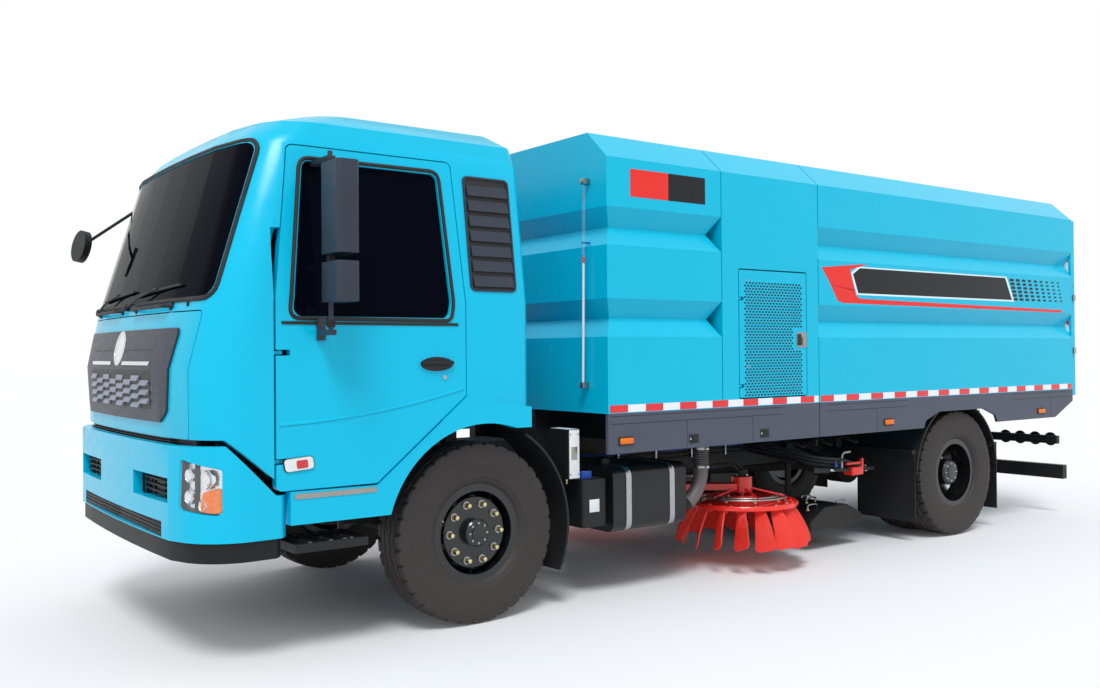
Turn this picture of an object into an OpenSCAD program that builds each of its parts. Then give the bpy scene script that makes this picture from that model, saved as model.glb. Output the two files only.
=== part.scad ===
// Street sweeper truck: a two-axle forward-control lorry with a wash-and-sweep body.
// +X points to the front, +Y to the left-hand side, +Z up.
// The origin lies on the ground, under the middle of the whole length and width.

/* [Overall] */
// Distance between the front and the rear axle
wheelbase = 4750; // [4600:10:5800]
// From the front axle to the foremost face of the bumper
front_overhang = 1720; // [1650:10:1900]
// From the rear axle to the rearmost face of the hopper door
rear_overhang = 1930; // [1700:10:2200]
// Width over the body's side walls
body_w = 2500; // [2480:10:2900]
// Height of the body's roof above the ground
roof_z = 2965; // [2600:5:3500]
// Height of the body's floor above the ground
floor_z = 1185; // [1160:5:1300]

/* [Cab] */
// Width over the cab's sides at the belt line
cab_w = 2400; // [2250:10:2400]
// From the front axle back to the cab's rear wall
cab_back = 320; // [250:10:420]
// Height of the cab roof above the ground
cab_top_z = 2900; // [2860:5:3000]
// Thickness of the cab's walls and doors
cab_wall = 45; // [30:1:60]
// Width of the shut gaps round doors and panels
shut_gap = 6; // [5:0.5:8]

/* [Body] */
// Length of the fresh-water tank behind the cab
tank_l = 1015; // [800:5:1300]
// Length of the machine bay
bay_l = 1010; // [900:5:1200]
// Clear space between the cab's rear wall and the water tank
cab_gap = 554; // [450:2:700]
// Width of the slope between side wall and roof
slope_w = 186; // [100:2:300]
// Height of that slope
slope_h = 175; // [100:5:300]
// Depth of the grooves along the body's sides
groove_d = 75; // [30:1:100]
// Thickness of the hopper's walls
hopper_wall = 60; // [30:1:90]
// Thickness of the sheet-metal skirts
skirt_t = 25; // [10:1:30]

/* [Wheels] */
// Outer radius of the tyres
tyre_r = 526; // [480:1:540]
// Width of a tyre
tyre_w = 278; // [240:1:285]
// Radius of the rim's bead seat
rim_r = 256; // [220:1:260]
// Distance between the middles of twin tyres
twin_pitch = 300; // [295:1:320]
// Radius of the wheel spindles
spindle_r = 35; // [28:0.5:45]

/* [Chassis] */
// Width over the two frame rails
frame_w = 850; // [780:5:900]
// Height of a frame rail
rail_h = 250; // [200:5:280]
// Width of a frame rail's flanges
rail_flange = 80; // [60:1:90]

/* [Sweeping gear] */
// Radius of the disc brooms over the bristles
broom_r = 520; // [420:5:560]
// Height of the bristle tips in the raised position
broom_tip_z = 150; // [120:5:200]
// Width of the suction nozzle across the truck
nozzle_w = 1900; // [1500:10:2100]
// How far the nozzle drops to sweep
nozzle_drop = 110; // [50:5:130]

/* [Hidden] */
$fn = 48;
e = 1;
pin_clear = 0.2;
rub_gap = 0.3;
overall_l = wheelbase + front_overhang + rear_overhang;
front_x = overall_l / 2 - front_overhang;
rear_x = front_x - wheelbase;
tail_x = -overall_l / 2;
half_w = body_w / 2;

// Frame and axles
rail_z = 650;
rail_web = 10;
rail_y = frame_w / 2 - rail_flange;
rail_front = front_x + 1400;
rail_back = tail_x + 290;
sub_z = rail_z + rail_h;
sub_h = floor_z - sub_z - 5;
hub_z = tyre_r;
kingpin_y = 800;
kingpin_r = 22;
front_track_y = 991;
rear_outer_y = 1066;
rear_inner_y = rear_outer_y - twin_pitch;
steer_clear = 640;
rear_spindle_r = spindle_r + 15;

// Cab stations, all measured forwards from the front axle
cab_rear = front_x - cab_back;
cab_nose = front_x + 1690;
cab_hw = cab_w / 2;
sill_z = 880;
arch_foot_z = 705;
arch_proud = 12;
panel_z = 1150;
cowl_z = 1865;
screen_top_z = 2665;
roof_seam_z = 2715;
cab_floor_z = 1190;
cab_floor_t = 45;
door_front = front_x + 1250;
door_rear = front_x + 130;
hinge_x = door_front - 30;
hinge_y = cab_hw - 35;
hinge_r = 8;
tilt_x = front_x + 1620;
tilt_z = 905;
tilt_pin_r = 18;
column_r = 20;

// Body stations
box_front = cab_rear - cab_gap;
seam1 = box_front - tank_l;
seam2 = seam1 - bay_l;
panel_gap = 8;
side_z = roof_z - slope_h;
groove_hi = side_z - 430;
groove_lo = groove_hi - 575;
groove_half = 120;
skirt_bottom = floor_z - 252;
service_x0 = seam2 + 145;
service_x1 = seam1 - 165;
service_z0 = floor_z + 62;
service_z1 = floor_z + 945;
service_t = 30;
bay_wall = 40;
tip_x = rear_x - 1430;
tip_z = floor_z - 105;
tip_pin_r = 25;
lift_x = rear_x - 130;
lift_z = 850;
lift_eye_x = tip_x + 2700;
lift_eye_z = floor_z - 75;
lift_r = 62;
door_hinge_z = roof_z - 40;
door_hinge_x = tail_x + 85;
door_pin_r = 12;

// Sweeping gear
broom_x = seam2 + 440;
broom_y = 880;
arm_x = broom_x + 520;
arm_y = frame_w / 2 + 95;
arm_pin_r = 20;
disc_z = 475;
nozzle_x = seam2 - 560;
nozzle_l = 620;
nozzle_z = 170;
nozzle_h = 170;
hose_x = nozzle_x + 60;
hose_y = -640;
hose_r = 100;
guide_y = frame_w / 2 + 25;
guide_t = 26;

cyan = "deepskyblue";
grey = "slategray";
black = "#202226";
red = "#e03028";
steel = "silver";

// ---------- shared shapes ----------

// A box between two corners
module span(a, b) {
    translate(a) cube(b - a);
}

// A cylinder along Y, centred on y
module bar_y(x, z, r, y0, y1) {
    translate([x, y0, z]) rotate([-90, 0, 0]) cylinder(r = r, h = y1 - y0);
}

// A cylinder along X
module bar_x(y, z, r, x0, x1) {
    translate([x0, y, z]) rotate([0, 90, 0]) cylinder(r = r, h = x1 - x0);
}

// Both sides of the truck
module both_sides() {
    children();
    mirror([0, 1, 0]) children();
}

// A flat outline in the X-Z plane, thickened along Y from y0 to y1
module side_plate(y0, y1) {
    translate([0, y1, 0]) rotate([90, 0, 0]) linear_extrude(y1 - y0) children();
}

// A flat outline in the Y-Z plane, thickened along X from x0 to x1
module cross_plate(x0, x1) {
    translate([x0, 0, 0]) rotate([90, 0, 90]) linear_extrude(x1 - x0) children();
}

// A polygon with round corners
module soft_polygon(points, r) {
    offset(r = r, $fn = 32) offset(delta = -r) polygon(points);
}

// ---------- frame, axles and springs ----------

module rail_channel() {
    difference() {
        span([rail_back, rail_y, rail_z], [rail_front, frame_w / 2, sub_z]);
        span([rail_back - e, rail_y - e, rail_z + rail_web],
             [rail_front + e, frame_w / 2 - rail_web, sub_z - rail_web]);
    }
}

module cross_member(x, z0, z1) {
    span([x - 40, -frame_w / 2 + rail_web - e, z0], [x + 40, frame_w / 2 - rail_web + e, z1]);
}

module chassis_frame() color(black) {
    difference() {
        union() {
            both_sides() {
                rail_channel();
                // subframe rail that carries the body
                span([tip_x, rail_y, sub_z - e], [box_front - 40, frame_w / 2, sub_z + sub_h]);
                span([rail_back, rail_y, sub_z - e], [tip_x + e, frame_w / 2, sub_z + 60]);
                // cab mounts behind the cab
                span([cab_rear + 40, rail_y, sub_z - e], [cab_rear + 120, frame_w / 2, cab_floor_z - 25]);
                // cab tilt brackets
                span([tilt_x - 60, rail_y - 20, rail_z + 60],
                     [tilt_x + 40, frame_w / 2 - 20, tilt_z + 45]);
                span([rail_front - 400, rail_y, rail_z + 60], [tilt_x - 59, frame_w / 2 - 20, tilt_z - 20]);
                // body outriggers
                for (x = [box_front - 300, seam1 + 60, seam1 - 300])
                    span([x - 30, frame_w / 2 - e, sub_z + 90],
                        [x + 30, half_w - skirt_t - rub_gap, sub_z + sub_h]);
            }
            for (x = [rail_front - 60, front_x + 1120, box_front - 200, seam1 + 30,
                      seam2 + 20, rear_x + 700, rear_x - 650, rail_back + 60])
                cross_member(x, rail_z + 95, rail_z + 205);
            for (x = [box_front - 200, seam1 + 30, seam2 + 20])
                cross_member(x, sub_z + 20, sub_z + sub_h - 20);
            // hinge blocks of the hopper, round behind so that the floor can turn past them
            both_sides() {
                bar_y(tip_x, tip_z, 85, rail_y, frame_w / 2);
                span([tip_x - 85, rail_y, sub_z + 59], [tip_x + e, frame_w / 2, tip_z]);
            }
            // carrier of the tipping ram
            both_sides() span([lift_x - 45, 100, lift_z - 50], [lift_x + 45, 125, lift_z + 50]);
            cross_member(lift_x, rail_z + 62, lift_z - 72);
            both_sides() span([lift_x - 40, 100, lift_z - 73], [lift_x + 40, 125, lift_z]);
            bar_y(lift_x, lift_z, 20, -110, 110);
            // sleeves of the nozzle's guide rods
            both_sides() span([nozzle_x - 42, frame_w / 2 - e, rail_z + 30],
                              [nozzle_x + 42, guide_y + guide_t + 16, rail_z + 150]);
            // tow jaw
            span([rail_back - 100, -70, rail_z + 30], [rail_back + 30, 70, rail_z + 120]);
            // swing posts of the broom arms
            both_sides() {
                span([arm_x - 60, frame_w / 2 - e, rail_z + 20], [arm_x + 60, arm_y + 45, rail_z + 55]);
                translate([arm_x, arm_y, disc_z + 55]) cylinder(r = arm_pin_r,
                    h = rail_z + 21 - disc_z - 55);
            }
            // pins of the hopper hinge
            both_sides() bar_y(tip_x, tip_z, tip_pin_r, frame_w / 2 - e, frame_w / 2 + 70);
            // pins of the cab hinge
            both_sides() bar_y(tilt_x, tilt_z, tilt_pin_r, frame_w / 2 - 20 - e, frame_w / 2 + 50);
        }
        both_sides() span([nozzle_x - guide_t - rub_gap, guide_y - rub_gap, rail_z],
                          [nozzle_x + guide_t + rub_gap, guide_y + guide_t + rub_gap, sub_z]);
        // jaw slot and pin hole
        span([rail_back - 101, -71, rail_z + 60], [rail_back - 20, 71, rail_z + 90]);
        translate([rail_back - 60, 0, rail_z]) cylinder(r = 16, h = 200);
    }
}

module front_axle() color(black) at_front() {
    difference() {
        union() {
            span([-45, -520, 395], [45, 520, 490]);
            both_sides() {
                hull() {
                    span([-45, 500, 395], [45, 520, 490]);
                    span([-45, 660, 455], [45, 690, 545]);
                }
                span([-45, 680, 470], [45, kingpin_y, 582]);
                translate([0, kingpin_y, 470]) cylinder(r = 45, h = 112);
                // spring seats
                span([-80, 340, 489], [80, 430, 505]);
            }
        }
        both_sides() translate([0, kingpin_y, 400]) cylinder(r = kingpin_r + pin_clear, h = 300);
    }
}

module at_front() {
    translate([front_x, 0, 0]) children();
}

module at_rear() {
    translate([rear_x, 0, 0]) children();
}

// One stack of leaves, with its middle at the axle
module leaf_stack(y0, y1, z, reach, count) {
    for (i = [0:count - 1])
        span([-reach * (1 - 0.85 * i / count), y0, z + 12 * (count - 1 - i)],
             [reach * (1 - 0.85 * i / count), y1, z + 12 * (count - i) + 0.5]);
}

module leaf_springs() color(grey) {
    both_sides() {
        at_front() {
            leaf_stack(350, 420, 505.3, 760, 6);
            for (x = [-745, 745]) span([x - 30, 355, 576], [x + 30, 415, rail_z - rub_gap]);
        }
        at_rear() {
            leaf_stack(480, 560, hub_z + 75.3, 780, 9);
            for (x = [-750, 750])
                span([x - 35, frame_w / 2 + rub_gap, hub_z + 182], [x + 35, 560, hub_z + 290]);
        }
    }
}

module rear_axle() color(black) at_rear() {
    both_sides() {
        bar_y(0, hub_z, 75, 0, 700);
        bar_y(0, hub_z, rear_spindle_r, 699, 1050);
        span([-70, 480, hub_z - 95], [70, 560, hub_z - 60]);
    }
    bar_y(0, hub_z, 190, -90, 90);
    bar_x(0, hub_z, 110, 0, 330);
    // propeller shaft
    shaft_end = front_x - rear_x - 1260;
    shaft_rise = 130;
    translate([320, 0, hub_z])
        rotate([0, 90 - atan(shaft_rise / (shaft_end - 320)), 0])
            cylinder(r = 45, h = norm([shaft_end - 320, shaft_rise]));
}

module engine_block() color("dimgray") {
    // engine
    span([front_x - 150, -300, rail_z - 40], [front_x + 1050, 300, cab_floor_z - 70]);
    // gearbox
    span([front_x - 900, -200, rail_z - 60], [front_x - 149, 200, sub_z + 60]);
    bar_x(0, hub_z + 130, 80, front_x - 1255, front_x - 899);
    // engine mounts inside the rails
    both_sides() for (x = [front_x + 300, front_x + 900])
        span([x - 50, 299, rail_z + 60], [x + 50, frame_w / 2 - rail_web - rub_gap, rail_z + 120]);
}

// ---------- steering knuckles and wheels ----------

module knuckle() {
    at_front() {
        difference() {
            union() {
                for (z = [415, 587]) translate([0, kingpin_y, z]) cylinder(r = 48, h = 50);
                span([-45, kingpin_y + 50, 415], [45, kingpin_y + 68, 637]);
                for (z = [415, 587]) span([-40, kingpin_y, z], [40, kingpin_y + 60, z + 50]);
            }
            translate([0, kingpin_y, 400]) cylinder(r = kingpin_r, h = 250);
        }
        translate([0, kingpin_y, 410]) cylinder(r = kingpin_r, h = 232);
        bar_y(0, hub_z, 150, kingpin_y + 58, kingpin_y + 66);
        bar_y(0, hub_z, spindle_r, kingpin_y + 60, front_track_y + 95);
    }
}

module left_knuckle() color(black) knuckle();
module right_knuckle() color(black) mirror([0, 1, 0]) knuckle();

// A tyre round the Y axis, centred on y = 0
module tyre() {
    half = tyre_w / 2;
    rotate([-90, 0, 0]) rotate_extrude($fn = 96)
        polygon([
            [rim_r + rub_gap, -92], [rim_r + 38, -92], [rim_r + 46, -half + 22],
            [rim_r + 90, -half + 4], [rim_r + 140, -half], [tyre_r - 60, -half + 5],
            [tyre_r - 16, -half + 22], [tyre_r, -half + 48],
            [tyre_r, half - 48], [tyre_r - 16, half - 22], [tyre_r - 60, half - 5],
            [rim_r + 140, half], [rim_r + 90, half - 4],
            [rim_r + 46, half - 22], [rim_r + 38, 92], [rim_r + rub_gap, 92]
        ]);
}

// Barrel of a rim, with a flange at both ends
module rim_barrel() {
    rotate([-90, 0, 0]) rotate_extrude($fn = 96)
        polygon([
            [rim_r - 14, -106], [rim_r + 34, -106], [rim_r + 34, -95], [rim_r, -95],
            [rim_r, 95], [rim_r + 34, 95], [rim_r + 34, 106], [rim_r - 14, 106]
        ]);
}

// Front wheel, outer side towards +Y; the disc bulges outwards
module front_rim() {
    rim_barrel();
    difference() {
        rotate([-90, 0, 0]) rotate_extrude($fn = 96)
            polygon([
                [0, -118], [205, -118], [205, -30], [95, -30], [95, 62], [196, 62],
                [rim_r - 13, 0], [rim_r - 13, 22], [204, 78], [80, 78], [80, 118], [72, 126], [0, 126]
            ]);
        translate([0, -119, 0]) rotate([-90, 0, 0]) cylinder(r = spindle_r + pin_clear, h = 219);
    }
}

// Twin rear rims, outer side towards +Y; the outer disc is dished
module rear_rims() {
    mid = (rear_outer_y + rear_inner_y) / 2;
    translate([0, rear_outer_y, 0]) rim_barrel();
    translate([0, rear_inner_y, 0]) rim_barrel();
    difference() {
        rotate([-90, 0, 0]) rotate_extrude($fn = 96)
            polygon([
                [0, rear_inner_y - 60], [215, rear_inner_y - 60], [215, rear_inner_y + 30],
                [110, rear_inner_y + 30], [110, mid - 12], [195, mid - 12], [rim_r - 13, rear_inner_y + 60],
                [rim_r - 13, rear_inner_y + 80], [214, mid], [rim_r - 13, rear_outer_y - 80],
                [rim_r - 13, rear_outer_y - 60], [195, mid + 14], [105, mid + 14],
                [105, rear_outer_y + 60], [92, rear_outer_y + 75], [0, rear_outer_y + 75]
            ]);
        rotate([-90, 0, 0]) cylinder(r = rear_spindle_r + pin_clear, h = 1055);
    }
}

module front_wheel_place(side) {
    at_front() translate([0, side * front_track_y, hub_z]) mirror([0, side < 0 ? 1 : 0, 0]) children();
}

module rear_wheel_place(side) {
    at_rear() translate([0, 0, hub_z]) mirror([0, side < 0 ? 1 : 0, 0]) children();
}

module rear_tyres() {
    for (y = [rear_outer_y, rear_inner_y]) translate([0, y, 0]) tyre();
}

module left_front_rim() color(black) front_wheel_place(1) front_rim();
module left_front_tyre() color("#303034") front_wheel_place(1) tyre();
module right_front_rim() color(black) front_wheel_place(-1) front_rim();
module right_front_tyre() color("#303034") front_wheel_place(-1) tyre();
module left_rear_rims() color(black) rear_wheel_place(1) rear_rims();
module left_rear_tyres() color("#303034") rear_wheel_place(1) rear_tyres();
module right_rear_rims() color(black) rear_wheel_place(-1) rear_rims();
module right_rear_tyres() color("#303034") rear_wheel_place(-1) rear_tyres();

// ---------- cab ----------

// Stations of the cab's closed outline, from the sill up: height, nose, tail, half width
function cab_stations(d, drop) = [
    [sill_z - drop, cab_nose - 12 - d, cab_rear + d, cab_hw - d],
    [1500, cab_nose + 15 - d, cab_rear + d, cab_hw - d],
    [cowl_z, cab_nose - 60 - d, cab_rear + d, cab_hw - d],
    [screen_top_z, cab_nose - 290 - d, cab_rear + 25 + d, cab_hw - 70 - d],
    [cab_top_z - 110, cab_nose - 400 - d, cab_rear + 45 + d, cab_hw - 110 - d],
    [cab_top_z - 35 - d, cab_nose - 640 - d, cab_rear + 140 + d, cab_hw - 210 - d],
    [cab_top_z - d, cab_nose - 1000 - d, cab_rear + 450 + d, cab_hw - 420 - d]
];

// Points along an arc, from angle a0 to a1 in n steps
function arc_points(cx, cy, r, a0, a1, n) =
    [for (i = [0:n]) [cx + r * cos(a0 + (a1 - a0) * i / n), cy + r * sin(a0 + (a1 - a0) * i / n)]];

// Plan outline of the cab at one station: a bowed nose between two round corners
function cab_plan(nose, tail, hw, front_r, rear_r, bow) = concat(
    arc_points(nose - bow - front_r, hw - front_r, front_r, 8, 90, 7),
    arc_points(tail + rear_r, hw - rear_r, rear_r, 90, 180, 3),
    arc_points(tail + rear_r, rear_r - hw, rear_r, 180, 270, 3),
    arc_points(nose - bow - front_r, front_r - hw, front_r, 270, 352, 7),
    [for (t = [-0.6:0.3:0.6]) [nose - bow * t * t, t * hw]]
);

// Closed outline of the cab, drawn in by d on every side
module cab_volume(d, drop = 0) {
    stations = cab_stations(d, drop);
    rings = [for (s = stations) cab_plan(s[1], s[2], s[3], 270 - d, 60, 55)];
    n = len(rings[0]);
    top = len(stations) - 1;
    polyhedron(
        points = [for (k = [0:top], p = rings[k]) [p[0], p[1], stations[k][0]]],
        faces = concat(
            [[for (i = [0:n - 1]) i]],
            [for (k = [0:top - 1], i = [0:n - 1])
                [k * n + i, (k + 1) * n + i, (k + 1) * n + (i + 1) % n]],
            [for (k = [0:top - 1], i = [0:n - 1])
                [k * n + i, (k + 1) * n + (i + 1) % n, k * n + (i + 1) % n]],
            [[for (i = [n - 1:-1:0]) top * n + i]]
        )
    );
}

// Side outline of a door, grown by g
module door_outline(g) {
    offset(delta = g) soft_polygon([
        [door_front, sill_z], [door_front, cowl_z], [door_front - 95, screen_top_z - 15],
        [door_rear + 60, screen_top_z - 15], [door_rear, cowl_z - 30],
        [door_rear, 1330], [door_front - 560, sill_z]
    ], 30);
}

// Side outline of the sill and the lip over the front wheel, below the door
module arch_outline() {
    difference() {
        polygon([
            [cab_rear + 2, cab_floor_z - 60], [cab_rear + 2, cab_floor_z + 60], [door_rear - 20, 1330],
            [door_rear - shut_gap, 1330 - shut_gap], [door_front - 560, sill_z - shut_gap - 4],
            [door_front - 70, sill_z - shut_gap], [door_front - 70, arch_foot_z],
            [front_x + 560, arch_foot_z], [front_x, cab_floor_z - 60]
        ]);
        translate([front_x, hub_z]) circle(r = steer_clear, $fn = 128);
        // the door's own outline with its shut gap
        door_outline(shut_gap);
    }
}

// Side outline of the door window, grown by g
module door_window(g) {
    offset(delta = g) soft_polygon([
        [door_front - 90, 1765], [door_front - 170, screen_top_z - 90],
        [door_rear + 150, screen_top_z - 90], [door_rear + 95, 1850], [door_rear + 110, 1765]
    ], 45);
}

// Front outline of the windscreen, grown by g
module screen_outline(g) {
    offset(delta = g) soft_polygon([
        [-cab_hw + 125, cowl_z], [cab_hw - 125, cowl_z],
        [cab_hw - 165, screen_top_z], [-cab_hw + 165, screen_top_z]
    ], 60);
}

// Front outline of the lifting panel under the windscreen, grown by g
module panel_outline(g) {
    offset(delta = g) soft_polygon([
        [-cab_hw + 200, panel_z], [cab_hw - 200, panel_z],
        [cab_hw - 160, cowl_z - 75], [-cab_hw + 160, cowl_z - 75]
    ], 20);
}

// Front outline of the grille, grown by g
module grille_outline(g) {
    offset(delta = g) soft_polygon([
        [-720, panel_z + 75], [720, panel_z + 75], [800, panel_z + 130],
        [880, panel_z + 560], [-880, panel_z + 560], [-800, panel_z + 130]
    ], 30);
}

module cab_shell() {
    difference() {
        cab_volume(0);
        // the hollow runs out through the open underside
        cab_volume(cab_wall, 60);
    }
}

// Space kept free for the steered front wheels and the bumper
module cab_undercut() {
    arch_front = front_x + 690;
    side_plate(-cab_hw - e, cab_hw + e)
        polygon([
            [cab_rear - e, sill_z - 20], [arch_front, sill_z - 20], [arch_front, sill_z + 2],
            [front_x + 420, cab_floor_z + 5], [cab_rear - e, cab_floor_z + 5]
        ]);
    side_plate(-cab_hw - e, cab_hw + e)
        polygon([
            [door_front + 5, sill_z - 20], [cab_nose + 90, sill_z - 20], [cab_nose + 90, panel_z],
            [front_x + 1500, panel_z], [door_front + 5, sill_z + 60]
        ]);
}

// Door opening: shallow at the floor, deeper above the belt where the cab leans in
module door_cut() {
    side_plate(cab_hw - 60, cab_hw + e) door_outline(shut_gap);
    intersection() {
        side_plate(cab_hw - 190, cab_hw + e) door_outline(shut_gap);
        span([door_rear - 50, cab_hw - 200, cowl_z - 90], [door_front + 50, cab_hw + 5, roof_seam_z]);
    }
}

module hinge_recess() {
    translate([hinge_x, hinge_y, sill_z - 40]) cylinder(r = 54, h = cowl_z - sill_z);
    translate([hinge_x, hinge_y, cowl_z - 40 - e]) cylinder(r1 = 54, r2 = 42, h = 390);
}

module cab_body() color(cyan) {
    difference() {
        union() {
            difference() {
                cab_shell();
                cab_undercut();
                both_sides() {
                    door_cut();
                    hinge_recess();
                }
                cross_plate(front_x + 1150, cab_nose + 90) screen_outline(0);
                cross_plate(cab_nose - 180, cab_nose + 90) panel_outline(shut_gap);
                span([cab_rear - e, -cab_hw, roof_seam_z], [cab_nose, cab_hw, cab_top_z + e]);
                // rear window
                cross_plate(cab_rear - 60, cab_rear + 120)
                    soft_polygon([[-450, 1950], [450, 1950], [450, 2350], [-450, 2350]], 40);
            }
            // sills and wheel-arch lips
            both_sides() side_plate(cab_hw - cab_wall - 15, cab_hw + arch_proud) arch_outline();
            // pins the doors hang on
            both_sides() for (z = [1050, 1600])
                door_pin(z);
        }
    }
}

// Floor pan, with the step wells, the arms of the cab hinge and the pads of the rear mounts
module cab_floor() color(cyan) {
    difference() {
        union() {
            intersection() {
                cab_volume(cab_wall + 15 + rub_gap, 60);
                union() {
                    span([cab_rear - e, -cab_hw, cab_floor_z],
                        [cab_nose + 60, cab_hw, cab_floor_z + cab_floor_t]);
                    both_sides() step_well();
                }
            }
            both_sides() {
                side_plate(frame_w / 2 + 5, frame_w / 2 + 45) translate([tilt_x, tilt_z])
                    polygon([[-32, 0], [20, 25], [-225, cab_floor_z + 10 - tilt_z],
                             [-330, cab_floor_z + 10 - tilt_z]]);
                bar_y(tilt_x, tilt_z, 32, frame_w / 2 + 5, frame_w / 2 + 45);
                span([cab_rear + 60, rail_y + 5, cab_floor_z - 25 + rub_gap],
                     [cab_rear + 115, frame_w / 2 - 5, cab_floor_z + 5]);
            }
        }
        both_sides() {
            bar_y(tilt_x, tilt_z, tilt_pin_r + pin_clear, frame_w / 2, frame_w / 2 + 60);
            // mouth of the step well
            span([front_x + 700, 840, cab_floor_z - e],
                [door_front - 95, cab_hw, cab_floor_z + cab_floor_t + e]);
            hinge_recess();
        }
    }
}

// One step well: tread, inner wall and its two ends
module step_well() {
    well_z = sill_z + 25;
    well_y = cab_hw - cab_wall - 25;
    span([front_x + 680, 820, well_z], [door_front - 85, well_y, well_z + 20]);
    span([front_x + 680, 820, well_z], [door_front - 85, 840, cab_floor_z + e]);
    span([front_x + 680, 820, well_z], [front_x + 700, well_y, cab_floor_z + e]);
    span([door_front - 95, 820, well_z], [door_front - 85, well_y, cab_floor_z + e]);
}

// A hinge pin held by a bracket below it
module door_pin(z) {
    translate([hinge_x, hinge_y, z - 30]) cylinder(r = hinge_r, h = 100);
    span([hinge_x - 12, hinge_y - 14, z - 30], [door_front + 70, hinge_y + 12, z - 12]);
}

module cab_roof() color(cyan) {
    intersection() {
        difference() {
            cab_volume(0);
            cab_volume(cab_wall);
        }
        span([cab_rear - e, -cab_hw, roof_seam_z + rub_gap], [cab_nose, cab_hw, cab_top_z + e]);
    }
}

module front_panel() color(cyan) {
    difference() {
        intersection() {
            difference() {
                cab_volume(0);
                cab_volume(cab_wall);
            }
            cross_plate(front_x + 1380, cab_nose + 90) panel_outline(0);
        }
        cross_plate(front_x + 1380, cab_nose + 90) grille_outline(0);
    }
    // hanging tabs under the cowl
    both_sides() span([cab_nose - 100, 650, cowl_z - 95],
                      [cab_nose - 78, 720, cowl_z - 75 + shut_gap - rub_gap]);
}

module grille() color("dimgray") {
    intersection() {
        difference() {
            cab_volume(-12);
            cab_volume(cab_wall - 10);
        }
        cross_plate(front_x + 1380, cab_nose + 120) grille_outline(-rub_gap);
    }
}

module windscreen() color([0.1, 0.12, 0.15, 0.6]) {
    intersection() {
        difference() {
            cab_volume(4);
            cab_volume(14);
        }
        cross_plate(front_x + 1150, cab_nose + 90) screen_outline(-rub_gap);
    }
}

module door_leaf() {
    difference() {
        intersection() {
            difference() {
                cab_volume(0);
                cab_volume(cab_wall + 10);
            }
            difference() {
                side_plate(700, cab_hw + e) door_outline(0);
                side_plate(690, cab_hw + 2) door_window(0);
            }
        }
        // room for the hinge brackets
        for (z = [1050, 1600]) {
            translate([hinge_x, hinge_y, z - 60]) cylinder(r = hinge_r + pin_clear, h = 160);
            span([hinge_x - 45, hinge_y - 60, z - 36], [door_front + 60, hinge_y + 60, z - 6]);
        }
    }
}

module door_pane() {
    intersection() {
        difference() {
            cab_volume(20);
            cab_volume(26);
        }
        side_plate(700, cab_hw + e) door_window(-rub_gap);
    }
}

// Two mirrors on one upright tube, carried by the door
module mirror_set() {
    mx = front_x + 1020;
    my = cab_hw + 150;
    translate([mx, my, 1665]) cylinder(r = 13, h = 930);
    for (z = [1680, 2560]) {
        y0 = z < 2000 ? cab_hw + rub_gap : cab_hw - 60;
        span([mx - 30, y0, z - 14], [mx + 12, my, z + 14]);
    }
    span([mx - 30, cab_hw + rub_gap, 1640], [mx + 12, cab_hw + 22, 1760]);
    // main and wide-angle heads
    mirror_head(mx - 15, my + 80, 2070, 2530, 215);
    mirror_head(mx - 15, my + 80, 1830, 2030, 215);
}

module mirror_head(x, y, z0, z1, w) {
    translate([x, y, z0]) linear_extrude(z1 - z0)
        offset(r = 25, $fn = 32) square([70, w - 50], center = true);
}

module left_door() color(cyan) door_leaf();
module right_door() color(cyan) mirror([0, 1, 0]) door_leaf();
module left_door_glass() color([0.1, 0.12, 0.15, 0.6]) door_pane();
module right_door_glass() color([0.1, 0.12, 0.15, 0.6]) mirror([0, 1, 0]) door_pane();
module left_mirrors() color(black) mirror_set();
module right_mirrors() color(black) mirror([0, 1, 0]) mirror_set();

module round_mirror() color(black) {
    rx = front_x + front_overhang - 70;
    ry = -cab_hw + 80;
    difference() {
        union() {
            translate([rx, ry, 2290]) rotate([0, 80, 10]) cylinder(r = 105, h = 45, center = true);
            hull() {
                translate([rx - 10, ry, 2300]) sphere(r = 10, $fn = 16);
                translate([front_x + 1300, ry + 70, 2560]) sphere(r = 10, $fn = 16);
            }
        }
        cab_volume(-rub_gap);
    }
}

module dashboard() color("dimgray") {
    difference() {
        union() {
            intersection() {
                cab_volume(cab_wall + rub_gap);
                side_plate(-cab_hw + 190, cab_hw - 190)
                    polygon([
                        [cab_nose - 330, cab_floor_z + 320], [cab_nose - 160, cab_floor_z + 320],
                        [cab_nose - 160, cowl_z - 10], [cab_nose - 330, cowl_z + 10],
                        [cab_nose - 470, cowl_z - 60], [cab_nose - 430, cowl_z - 240]
                    ]);
            }
            // side feet of the dashboard
            both_sides() span([cab_nose - 300, 640, cab_floor_z + cab_floor_t + rub_gap],
                              [cab_nose - 180, 700, cab_floor_z + 321]);
            along_column() translate([0, 0, -400]) cylinder(r = 38, h = 290);
        }
        along_column() translate([0, 0, -200]) cylinder(r = column_r + pin_clear, h = 100);
    }
}

// Steering column, from its wheel down into the dashboard
module along_column() {
    translate([cab_nose - 560, 500, cowl_z - 40]) rotate([0, -32, 0]) children();
}

module seat(y0, y1) {
    sx = front_x + 330;
    base = cab_floor_z + cab_floor_t + rub_gap;
    top = base + 400;
    span([sx + 60, y0 + 80, base], [sx + 420, y1 - 80, top - 60]);
    side_plate(y0, y1) polygon([
        [sx, top - 120], [sx + 500, top - 120], [sx + 520, top - 20], [sx + 120, top],
        [sx + 40, top + 600], [sx - 60, top + 600]
    ]);
}

module seats() color("#404248") {
    seat(250, 750);
    seat(-800, -200);
}

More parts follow.
